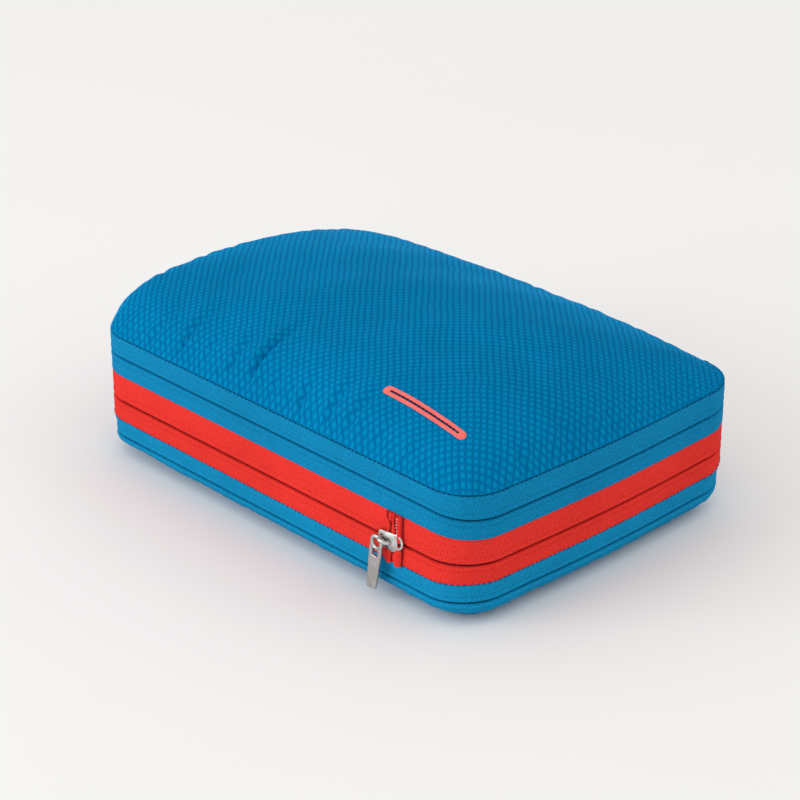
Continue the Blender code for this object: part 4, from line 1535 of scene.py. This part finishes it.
@dataclass
class InnerCloth:
    """Hinge panels, seam bindings, divider and the folded expansion gusset."""

    looks: Looks

    def hinge(self, node: str, body: Body, low: float, high: float, seed: int,
              inset: Callable[[Array], Array]) -> Piece:
        """Build one hinge panel round the back.

        Args:
            node: CAD node it stands for.
            body: Body it moves with.
            low: Height of its lower edge.
            high: Height of its upper edge.
            seed: Seed of its unevenness.
            inset: Inset of the wall by height.

        Returns:
            The panel.
        """
        heights = np.concatenate([[low, low + 0.25, low + 0.7], np.linspace(low + 1.5, high - 1.5, 11),
                                  [high - 0.7, high - 0.25, high]])
        out = 0.25 * np.sin(math.pi * (heights - low) / (high - low)) ** 0.7
        out[[0, -1]] = -0.9
        out[[1, -2]] = -0.35
        ripple = Ripple(seed, 0.30, 9.0)
        still = 14.0

        def relief(distance: Array, height: Array) -> Array:
            """Let the cloth wave between its seams and lie still at its two ends."""
            middle = np.sin(math.pi * (height - low) / (high - low))
            ends = smooth(distance, HINGE_START, HINGE_START + still) * (
                1.0 - smooth(distance, HINGE_END - still, HINGE_END))
            return ripple.at(distance + 3.0 * height) * middle * (0.2 + 0.8 * ends)

        strip = Strip(node + "_cloth", HINGE_START, HINGE_END, list(zip(heights, inset(heights) - out)),
                      self.looks["ripstop"], relief=relief)
        return set_piece(strip.build(), body, "ripstop_blue", node)

    def bind(self, node: str, body: Body, inset: float, low: float, high: float,
             ends: tuple[float, float] | None = None) -> None:
        """Build the tape that binds the raw edges of a seam on the inside.

        Args:
            node: CAD node it stands for.
            body: Body it moves with.
            inset: Inset of its outside.
            low: Height of its lower edge.
            high: Height of its upper edge.
            ends: Where it starts and ends on the outline, or None for once round.
        """
        heights = np.linspace(low, high, 5)
        bulge = 0.25 * np.sin(math.pi * (heights - low) / (high - low))
        strip = Strip(node + "_cloth", *(ends or (0.0, OUTLINE.round_trip)),
                      list(zip(heights, inset + 0.3 - bulge)), self.looks["binding"], 0.45, ends is None, 2.4)
        set_piece(strip.build(), body, "lining", node)

    def fold_gusset(self) -> Piece:
        """Build the expansion gusset, folded inwards between the two red tapes.

        Returns:
            The gusset, on no body.
        """
        levels = [(25.6, 2.8), (27.2, 3.7), (29.0, 4.8), (31.0, 5.6), (33.5, 6.3), (36.0, 6.7), (38.5, 6.3),
                  (41.0, 5.6), (43.2, 4.8), (45.0, 3.7), (46.6, 2.8)]
        low, high = levels[0][0], levels[-1][0]
        ripple = Ripple(41, 0.35, 8.0, 40.0)

        def relief(distance: Array, height: Array) -> Array:
            """Wave the fold's middle."""
            return -np.abs(ripple.at(distance)) * np.sin(math.pi * (height - low) / (high - low))

        strip = Strip("expansion_gusset_cloth", 0.0, OUTLINE.round_trip, levels, self.looks["lining"], 0.5,
                      True, 2.2, relief)
        piece = set_piece(strip.build(), None, "ripstop_blue", "expansion_gusset")
        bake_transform(piece)
        return piece

    def build(self) -> None:
        upper = self.hinge("top_hinge_panel", Body.UPPER_WALL, 47.25, 68.3, 51, upright_inset)
        lower = self.hinge("bottom_hinge_panel", Body.LOWER_WALL, 7.35, 25.3, 52, lower_wall_inset)
        self.bind("upper_seam_binding", Body.UPPER_WALL, 1.3, 44.2, 50.4)
        self.bind("lower_seam_binding", Body.LOWER_WALL, 2.7, 20.2, 24.0)
        ends = (OUTLINE.distance_on_left(66.0), OUTLINE.distance_on_right(66.0) + OUTLINE.round_trip)
        self.bind("top_seam_binding", Body.TOP_LID, 1.3, 63.6, 68.0, ends)
        self.bind("bottom_seam_binding", Body.BOTTOM_LID, 9.6, 7.4, 10.4, ends)
        divider = DividerSheet("divider_sheet", Body.LOWER_WALL, "divider_panel", "lining",
                               self.looks["lining"]).build()
        gusset = self.fold_gusset()


@dataclass
class TrimPatch:
    """Heat-bonded rubber trim with a narrow slot, curved over the dome."""

    dome: Dome
    looks: Looks
    stitches: PathRepeater
    centre: tuple[float, float] = (85.8, -74.0)
    turn: float = math.radians(1.0)
    length: float = 51.0
    width: float = 4.7
    slot_length: float = 43.0
    slot_width: float = 1.15
    lift: float = 0.55

    def stadium(self, length: float, width: float) -> Array:
        """Trace a stadium shape with evenly matched points.

        Args:
            length: Its length.
            width: Its width.

        Returns:
            Points once round, in its own plan axes.
        """
        radius = 0.5 * width
        straight = 0.5 * length - radius
        along = np.linspace(-straight, straight, 41)
        angle = np.linspace(-0.5 * math.pi, 0.5 * math.pi, 13)[1:-1]
        right = np.column_stack([straight + radius * np.cos(angle), radius * np.sin(angle)])
        lower = np.column_stack([along, np.full(len(along), -radius)])
        return np.concatenate([lower, right, -lower, -right])

    def lay(self, flat: Array, lift: float) -> Array:
        """Lay plan points on the dome.

        Args:
            flat: Points in the patch's own axes.
            lift: Height above the cloth.

        Returns:
            Points in space.
        """
        cos, sin = math.cos(self.turn), math.sin(self.turn)
        x = self.centre[0] + cos * flat[:, 0] - sin * flat[:, 1]
        y = self.centre[1] + sin * flat[:, 0] + cos * flat[:, 1]
        tilt = 0.5
        slope_x = (self.dome.surface(x + tilt, y) - self.dome.surface(x - tilt, y)) / (2.0 * tilt)
        slope_y = (self.dome.surface(x, y + tilt) - self.dome.surface(x, y - tilt)) / (2.0 * tilt)
        upright = np.column_stack([-slope_x, -slope_y, np.ones(len(x))])
        upright /= np.linalg.norm(upright, axis=1, keepdims=True)
        return OUTLINE.settle(np.column_stack([x, y, self.dome.surface(x, y)]) + lift * upright)

    def build(self) -> None:
        """Build the patch and the dark thread that shows in its slot."""
        outer = self.stadium(self.length, self.width)
        inner = self.stadium(self.slot_length, self.slot_width)
        section = [(0.0, -0.1), (0.0, 0.55), (0.05, 0.85), (0.14, 0.97), (0.32, 1.0), (0.5, 1.0),
                   (0.68, 1.0), (0.86, 0.97), (0.95, 0.85), (1.0, 0.55), (1.0, -0.1)]
        rows = [self.lay(outer + share * (inner - outer), self.lift * rise) for share, rise in section]
        piece = make_piece("top_trim_patch_film", np.concatenate(rows),
                           grid_faces(len(rows), len(outer), True), self.looks["film"])
        set_piece(piece, Body.TOP_LID, "trim_patch", "top_trim_patch")
        half = 0.5 * self.slot_length - 0.6
        flat = np.column_stack([np.linspace(-half, half, 60), np.zeros(60)])
        line = self.lay(flat, 0.28)
        self.stitches.row("top_trim_patch_slot_stitches", line, self.lay(flat, 1.28) - line,
                          self.looks["slot_thread"], 61, Body.TOP_LID, "coil_dark", Spacing=2.5, Length=2.2,
                          Thickness=1.05, Height=0.5, Unevenness=0.08)


@dataclass
class TapeEnd:
    """The folded end of a red tape beside the slider."""

    node: str
    body: Body
    material: Material
    low: float
    high: float
    slant: float
    left: float = 84.9
    right: float = 95.4
    swing: float = 0.35
    hem: float = 0.0
    folds: float = 3.0
    columns: int = 61
    rows: int = 13

    def build(self) -> None:
        """Build the folds as one curved strip of doubled tape."""
        across = np.linspace(0.0, 1.0, self.columns)
        back = np.full(self.columns, -HALF_Y + 0.5)
        outer = []
        inner = []
        cloth = []
        for rise in np.linspace(0.0, 1.0, self.rows):
            sway = self.swing * math.sin(1.6 * math.pi * rise)
            left = self.left + self.slant * (1.0 - rise)
            x = left + across * (self.right - left)
            ridges = np.abs(np.sin(math.pi * (across * self.folds + sway * (1.0 - across)))) ** 0.45
            height = self.low + rise * (self.high - self.low)
            height = height + self.hem * (1.0 - rise) * np.abs(np.sin(self.folds * math.pi * across))
            stand = 0.05 + (1.55 + 0.45 * math.sin(math.pi * rise)) * ridges * (0.8 + 0.4 * across)
            stand[0] = stand[-1] = 0.0
            outer.append(np.column_stack([x, -HALF_Y - stand, height]))
            inner.append(np.column_stack([x, back, height]))
            cloth.append(np.column_stack([height, x]))
        piece = make_piece(self.node + "_cloth", np.concatenate(outer + inner),
                           shell_faces(self.rows, self.columns, False), self.material,
                           np.concatenate(cloth + cloth))
        set_piece(piece, self.body, "zip_tape_red", self.node)


# ---------------------------------------------------------------- sliders and pulls


def plate(name: str, outlines: Sequence[Sequence[tuple[float, float]]], thickness: float, rounding: float,
          front: float) -> Piece:
    """Make a rounded plate that stands in the XZ plane.

    Args:
        name: Name of the object.
        outlines: Closed outlines; the ones inside another are holes.
        thickness: Full thickness.
        rounding: Radius of its rounded edges.
        front: Place of its front face; it reaches from there towards +Y.

    Returns:
        The plate as a mesh object.
    """
    curve = bpy.data.curves.new(name, "CURVE")
    curve.dimensions = "2D"
    curve.fill_mode = "BOTH"
    curve.extrude = 0.5 * thickness - rounding
    curve.bevel_depth = rounding
    curve.bevel_resolution = 3
    curve.offset = -rounding
    for outline in outlines:
        spline = curve.splines.new("POLY")
        spline.points.add(len(outline) - 1)
        for (x, z), target in zip(outline, spline.points):
            target.co = (x, z, 0.0, 1.0)
        spline.use_cyclic_u = True
    made = flatten_modifiers(link_object(name, curve))
    stand = Matrix.Translation((0.0, front + 0.5 * thickness, 0.0)) @ Matrix.Rotation(0.5 * math.pi, 4, "X")
    made.data.transform(stand)
    return made


def wire(name: str, path: Sequence[Point], radius: float,
         closed: bool = False, squeeze: float = 1.0) -> Piece:
    """Make a round wire along a smooth path.

    Args:
        name: Name of the object.
        path: Points of the path.
        radius: Radius of the wire.
        closed: Whether it is a loop.
        squeeze: Width across the path's plane compared with the radius.

    Returns:
        The wire as a mesh object.
    """
    curve = bpy.data.curves.new(name, "CURVE")
    curve.dimensions = "3D"
    curve.resolution_u = 5
    curve.use_fill_caps = True
    curve.bevel_depth = radius
    curve.bevel_resolution = 4
    spline = curve.splines.new("BEZIER")
    spline.bezier_points.add(len(path) - 1)
    for place, target in zip(path, spline.bezier_points):
        target.co = place
        target.handle_left_type = "AUTO"
        target.handle_right_type = "AUTO"
    spline.use_cyclic_u = closed
    made = flatten_modifiers(link_object(name, curve))
    made.data.transform(Matrix.Diagonal((1.0, 1.0, squeeze, 1.0)))
    return made


def arc(x: float, z: float, radius: float, start: float, end: float, steps: int) -> list[tuple[float, float]]:
    """Return points of an arc; angles are in half turns."""
    angles = np.linspace(start * math.pi, end * math.pi, steps + 1)
    return [(x + radius * math.cos(angle), z + radius * math.sin(angle)) for angle in angles]


def join_hardware(name: str, parts: Sequence[Piece], place: Matrix,
                  material: Material) -> Piece:
    """Join metal parts into one piece in its place.

    Args:
        name: Name of the piece.
        parts: Mesh objects in the hardware's own axes, in millimetres.
        place: Its place in the frame, in millimetres.
        material: Its finish.

    Returns:
        The joined piece.
    """
    whole = bmesh.new()
    for part in parts:
        whole.from_mesh(part.data)
        bpy.data.objects.remove(part, do_unlink=True)
    bmesh.ops.transform(whole, matrix=Matrix.Diagonal((MM, MM, MM, 1.0)) @ place, verts=whole.verts)
    bmesh.ops.remove_doubles(whole, verts=whole.verts, dist=1e-6)
    return finish_mesh(name, whole, bpy.data.meshes.new(name), material, 38.0)


@dataclass
class ZipSlider:
    """A slider with its pull, in its own axes: zip along X, outwards -Y, slit at Z = 0."""

    prefix: str
    origin: Point
    turn: float
    mouth: float
    looks: Looks
    sag: float = 0.0
    droop: float = 0.0
    pull_tilt: float = 0.0
    pull_drop: float = 1.0
    length: float = 12.6
    height: float = 9.6

    def outline(self, shrink: float = 0.0) -> list[tuple[float, float]]:
        """Trace the body: broad and round at the mouth, a pointed shoulder at the tail.

        Args:
            shrink: How much smaller than full size.

        Returns:
            Outline points.
        """
        half_x = 0.5 * self.length - shrink
        half_z = 0.5 * self.height - shrink
        points = arc(half_x - 3.4, -half_z + 3.4, 3.4, -0.5, 0.0, 6)
        points += arc(half_x - 3.0, half_z - 3.0, 3.0, 0.0, 0.5, 6)
        points += arc(-half_x + 1.6, 0.82 * half_z - 1.2, 1.2, 0.45, 1.0, 4)
        points += arc(-half_x + 2.4, -0.66 * half_z + 2.2, 2.2, 1.0, 1.42, 4)
        return [(self.mouth * x, z) for x, z in points]

    def crown(self, plate_mesh: bpy.types.Mesh) -> None:
        """Dome the front plate so that its middle stands further out.

        Args:
            plate_mesh: Mesh of the plate.
        """
        shape = bmesh.new()
        shape.from_mesh(plate_mesh)
        bmesh.ops.remove_doubles(shape, verts=shape.verts, dist=1e-4)
        for axis in ((1.0, 0.0, 0.0), (0.0, 0.0, 1.0)):
            for step in np.linspace(-5.5, 5.5, 12):
                everything = list(shape.verts) + list(shape.edges) + list(shape.faces)
                bmesh.ops.bisect_plane(shape, geom=everything, plane_co=Vector(axis) * step, plane_no=axis)
        shape.to_mesh(plate_mesh)
        shape.free()
        for vertex in plate_mesh.vertices:
            x = vertex.co.x / (0.5 * self.length)
            z = vertex.co.z / (0.5 * self.height)
            vertex.co.y -= 0.95 * max(0.0, 1.0 - 0.85 * (x * x + z * z))

    @property
    def stand(self) -> Matrix:
        """Place and turn of the hardware's own axes in the frame."""
        return Matrix.Translation(self.origin) @ Matrix.Rotation(self.turn, 4, "Z")

    def build_body(self) -> None:
        """Build the slider's plates, neck, rims, bridge and mouth ring."""
        mouth = self.mouth
        front = plate(self.prefix + "_front", [self.outline()], 1.7, 0.5, -2.3)
        self.crown(front.data)
        rear = plate(self.prefix + "_rear", [self.outline(0.6)], 1.0, 0.3, 3.25)
        rim = wire(self.prefix + "_rim", [(x, -1.9, z) for x, z in self.outline(0.45)], 0.55, closed=True)
        corners = [(mouth * x, z) for x, z in ((2.3, -0.4), (4.8, -0.4), (4.8, 0.4), (2.3, 0.4))]
        neck = plate(self.prefix + "_neck", [corners], 5.2, 0.15, -1.2)
        path = [(-3.6, -1.2, 0.4), (-3.75, -3.2, 0.4), (-3.4, -4.9, 0.5), (-2.3, -5.7, 0.5),
                (-0.4, -5.8, 0.4), (1.2, -5.1, 0.2), (2.2, -3.8, 0.0), (2.5, -1.8, 0.0)]
        bridge = wire(self.prefix + "_bridge", [(mouth * x, y, z) for x, y, z in path], 0.68, squeeze=1.5)
        path = [(mouth * (0.5 * self.length - 0.7 + 3.3 * math.cos(angle)), -1.6 + 0.3 * math.cos(angle),
                 1.0 + 3.4 * math.sin(angle)) for angle in np.linspace(-0.62 * math.pi, 0.62 * math.pi, 11)]
        ring = wire(self.prefix + "_mouth_ring", path, 0.7)
        for part in (front, rear, rim, bridge, ring):
            part.data.transform(Matrix.Translation((0.0, 0.0, -self.sag)))
        node = self.prefix + "_slider"
        piece = join_hardware(node + "_metal", [front, rear, rim, neck, bridge, ring], self.stand,
                              self.looks["polished"])
        set_piece(piece, Body(node), "nickel", node)

    def build_pull(self) -> None:
        """Build the flat pull with its ring and window, hanging from the bridge."""
        tip = 2.9
        low = -25.9
        outline = arc(0.0, 0.0, 4.0, -0.10, 1.10, 22)
        outline += [(-3.95, -5.0), (-3.7, -10.0)]
        outline += arc(-tip + 0.7, low + 0.7, 0.7, 1.0, 1.5, 4)
        outline += arc(tip - 0.7, low + 1.3, 0.7, 1.5, 2.0, 4)
        outline += [(3.7, -10.0), (3.95, -5.0)]
        eye = arc(0.0, 0.0, 2.15, 0.0, 2.0, 28)[:-1]
        window = arc(-1.35, -4.5, 0.5, 0.5, 1.0, 3) + arc(-1.25, -7.0, 0.5, 1.0, 1.5, 3)
        window += arc(1.25, -7.0, 0.5, 1.5, 2.0, 3) + arc(1.35, -4.5, 0.5, 0.0, 0.5, 3)
        blade = plate(self.prefix + "_blade", [outline, eye, window], 1.3, 0.32, -0.65)
        ring = [(x, 0.0, z) for x, z in arc(0.0, 0.0, 2.95, 0.0, 2.0, 16)[:-1]]
        loop = wire(self.prefix + "_loop", ring, 0.95, closed=True)
        pivot = Matrix.Translation((-4.0 * self.mouth, -4.7, -self.sag + self.droop))
        hang = Matrix.Rotation(self.pull_tilt, 4, "Y") @ Matrix.Translation((0.0, 0.0, -self.pull_drop))
        node = self.prefix + "_pull"
        piece = join_hardware(node + "_metal", [blade, loop], self.stand @ pivot @ hang, self.looks["satin"])
        set_piece(piece, Body(node), "nickel", node)

    def build(self) -> None:
        """Build the slider and its pull."""
        self.build_body()
        self.build_pull()


# ---------------------------------------------------------------- studio and cube


@dataclass
class Studio:
    """Pale floor, soft light and the camera."""

    floor_size: float = 6.0
    camera_place: Point = (0.7861, -0.7575, 0.5661)
    camera_turn: tuple[float, float] = (64.30, 46.333)
    lens: float = 108.05

    def build(self) -> None:
        """Set the floor, the lights and the camera."""
        finish = PlainFinish("studio_floor", (0.88, 0.877, 0.872), (0.87, 0.867, 0.862), 0.9, 0.1, 3.0, 0.02)
        half = 0.5 * self.floor_size / MM
        corners = np.array([(-half, -half, 0.0), (half, -half, 0.0), (half, half, 0.0), (-half, half, 0.0)])
        make_piece("studio_floor", corners, [(0, 1, 2, 3)], finish.build())
        world = bpy.data.worlds.new("studio_air")
        world.use_nodes = True
        back = world.node_tree.nodes["Background"]
        back.inputs["Color"].default_value = (0.905, 0.896, 0.88, 1.0)
        back.inputs["Strength"].default_value = 0.99
        bpy.context.scene.world = world
        self.light("key_light", (-0.9, -2.0, 0.8), 1.4, 20.0)
        self.light("fill_light", (1.9, 1.6, 2.2), 1.6, 6.0)
        camera = bpy.data.cameras.new("camera")
        camera.lens = self.lens
        camera.sensor_width = 36.0
        camera.clip_end = 50.0
        eye = link_object("camera", camera)
        eye.location = self.camera_place
        eye.rotation_euler = (math.radians(self.camera_turn[0]), 0.0, math.radians(self.camera_turn[1]))
        bpy.context.scene.camera = eye
        bpy.context.scene.view_settings.view_transform = "Standard"

    @staticmethod
    def light(name: str, place: Point, size: float, power: float) -> None:
        """Set a soft square light that looks at the cube.

        Args:
            name: Name of the light.
            place: Its place in metres.
            size: Its side in metres.
            power: Its power in watts.
        """
        lamp = bpy.data.lights.new(name, "AREA")
        lamp.size = size
        lamp.energy = power
        holder = link_object(name, lamp)
        holder.location = place
        toward = Vector((0.0, 0.0, 0.05)) - Vector(place)
        holder.rotation_euler = toward.to_track_quat("-Z", "Y").to_euler()


@dataclass
class PackingCube:
    """The whole cube."""

    looks: Looks
    stitches: PathRepeater
    teeth: PathRepeater

    def build(self) -> None:
        """Build and dress every sub-assembly."""
        looks = self.looks
        self.sew_borders(Walls(looks, self.stitches, self.teeth).build())
        dome = Dome(creases=self.creases())
        top = TopPanel("top_panel_cloth", Body.TOP_LID, "top_panel", "ripstop_blue", looks["ripstop"],
                       dome=dome).build()
        bottom = BottomPanel("bottom_panel_cloth", Body.BOTTOM_LID, "bottom_panel", "ripstop_blue",
                             looks["ripstop"]).build()
        InnerCloth(looks).build()
        TrimPatch(dome, looks, self.stitches).build()
        self.fold_tape_ends()
        self.fit_sliders()
        for name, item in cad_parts.items():
            if name.startswith(("top_zip_stop", "bottom_zip_stop")):
                for slot in item.material_slots:
                    slot.material = looks["polished"]

    @staticmethod
    def creases() -> list[Crease]:
        """Lay out the soft folds that run in from the seam.

        Returns:
            The creases, the front's first.
        """
        front = [(-16.0, -12.0, -54.0, 1.1), (-32.0, -28.0, -72.0, 0.65), (-68.0, -63.0, -66.0, 0.7),
                 (40.0, 42.0, -74.0, 0.75), (53.0, 59.0, -70.0, 0.6), (20.0, 23.0, -78.0, 0.5),
                 (1.0, 1.0, -82.0, 0.45), (72.0, 78.0, -80.0, 0.3), (-50.0, -46.0, -74.0, 0.4),
                 (-90.0, -84.0, -74.0, 0.4), (92.0, 97.0, -84.0, 0.3)]
        made = [Crease((start, -95.0), (inner, reach), depth) for start, inner, reach, depth in front]
        chance = np.random.default_rng(7)
        for place in np.linspace(-96.0, 96.0, 9):
            x = place + 8.0 * chance.random()
            made.append(Crease((x, 95.5), (x + 8.0 * (chance.random() - 0.5), 76.0 - 10.0 * chance.random()),
                               0.35 + 0.35 * chance.random()))
        for place in np.linspace(-60.0, 60.0, 6):
            y = place + 7.0 * chance.random()
            made.append(Crease((-134.5, y), (-118.0 + 8.0 * chance.random(), y * 0.95),
                               0.35 + 0.3 * chance.random()))
            made.append(Crease((134.5, y), (116.0 - 8.0 * chance.random(), y * 0.95),
                               0.3 + 0.25 * chance.random()))
        return made

    def sew_borders(self, tapes: list[ZipTape]) -> None:
        """Sew the dark stitches in the three borders that show; their dark thread also paints the fold shadow
        along each seam.

        Args:
            tapes: The six tapes, top down.
        """
        for tape, label, back, stand, beyond in ((tapes[0], "top_seam", 0.2, -0.25, 38.0),
                                                 (tapes[3], "lower_border", 0.1, 0.12, 0.0),
                                                 (tapes[5], "bottom_seam", 0.35, -0.32, 0.0)):
            self.stitches.row(label + "_stitches", *tape.path(tape.reach - back, stand, beyond=beyond),
                              self.looks["thread_dark_and_seam_shadow"], len(label), tape.body, "coil_dark", Spacing=2.9,
                              Length=2.1, Thickness=0.62, Height=0.55, Unevenness=0.25)

    def fold_tape_ends(self) -> None:
        """Fold the ends of the red tapes beside the slider, lay dark red wires in the folds' creases as
        painted crease shadow, and tack the upper one.
        """
        upper, lower = Body.UPPER_WALL, Body.LOWER_WALL
        TapeEnd("compression_upper_fold", upper, self.looks["red"], 33.2, 46.8, 1.6).build()
        TapeEnd("compression_lower_fold", lower, self.looks["red"], 21.6, 31.4, -1.6, 84.6, 95.0,
                swing=0.25, hem=-1.3, folds=2.0).build()
        # Painted shadow: thin dark red wires along the creases of the folds stand in for the shade in them.
        crease_shadow_paths = (("upper_left", upper, [(86.2, -1.2, 46.9), (86.6, -1.6, 44.6), (88.3, -1.7, 42.2),
                                        (88.9, -1.7, 39.8), (87.6, -1.6, 37.2)]),
                 ("upper_middle", upper, [(91.3, -1.4, 46.9), (91.2, -1.9, 44.0), (92.2, -2.0, 41.0),
                                          (92.6, -1.9, 37.6)]),
                 ("upper_right", upper, [(95.6, -0.6, 46.9), (95.5, -0.8, 42.5), (95.4, -0.8, 35.0)]),
                 ("lower_middle", lower, [(89.6, -1.4, 29.5), (89.2, -1.5, 26.0), (88.3, -1.2, 21.6)]),
                 ("lower_right", lower, [(95.2, -0.6, 31.0), (95.1, -0.8, 26.0), (94.6, -0.8, 21.0)]))
        for label, body, path in crease_shadow_paths:
            tuck = wire(f"compression_tuck_{label}", [(x, y - HALF_Y, z) for x, y, z in path], 0.3)
            piece = join_hardware(tuck.name + "_painted_shadow_wire", [tuck], Matrix.Identity(4), self.looks["coil_red"])
            set_piece(piece, body, "coil_red")
        heights = np.linspace(36.8, 46.0, 24)
        line = np.column_stack([93.4 + 0.3 * np.sin(heights), np.full(24, -HALF_Y - 2.45), heights])
        self.stitches.row("compression_tack_stitches", line, np.tile([0.0, -1.0, 0.0], (24, 1)),
                          self.looks["thread_pale"], 71, upper, "zip_tape_red", Spacing=1.45, Length=0.85,
                          Thickness=0.6, Height=0.5, Unevenness=0.15)

    def fit_sliders(self) -> None:
        """Fit the three sliders with their pulls."""
        left = -0.5 * math.pi
        ZipSlider("compression", (87.0, -HALF_Y, COMPRESSION_SLIT_Z), 0.0, 1.0, self.looks, sag=3.1,
                  droop=0.9, pull_tilt=math.radians(8.5), pull_drop=2.6).build()
        ZipSlider("top", (-HALF_X, 58.0, TOP_SLIT_Z), left, -1.0, self.looks, pull_drop=1.2).build()
        ZipSlider("bottom", (-HALF_X + 1.5, 58.0, BOTTOM_SLIT_Z), left, -1.0, self.looks,
                  pull_tilt=math.radians(-66.0), pull_drop=0.0).build()


def main() -> None:
    """Build the studio and the cube."""
    logging.basicConfig(level=logging.INFO, format="%(name)s: %(message)s")
    Studio().build()
    for make in (make_cell_weave, make_tape_weave, make_drift, make_metal_grain):
        make()
    looks = {key: finish.build() for key, finish in FINISHES.items()}
    PackingCube(looks, PathRepeater(RepeatShape.STITCH).build(),
                PathRepeater(RepeatShape.COIL_TOOTH).build()).build()


if __name__ == "__main__":
    main()
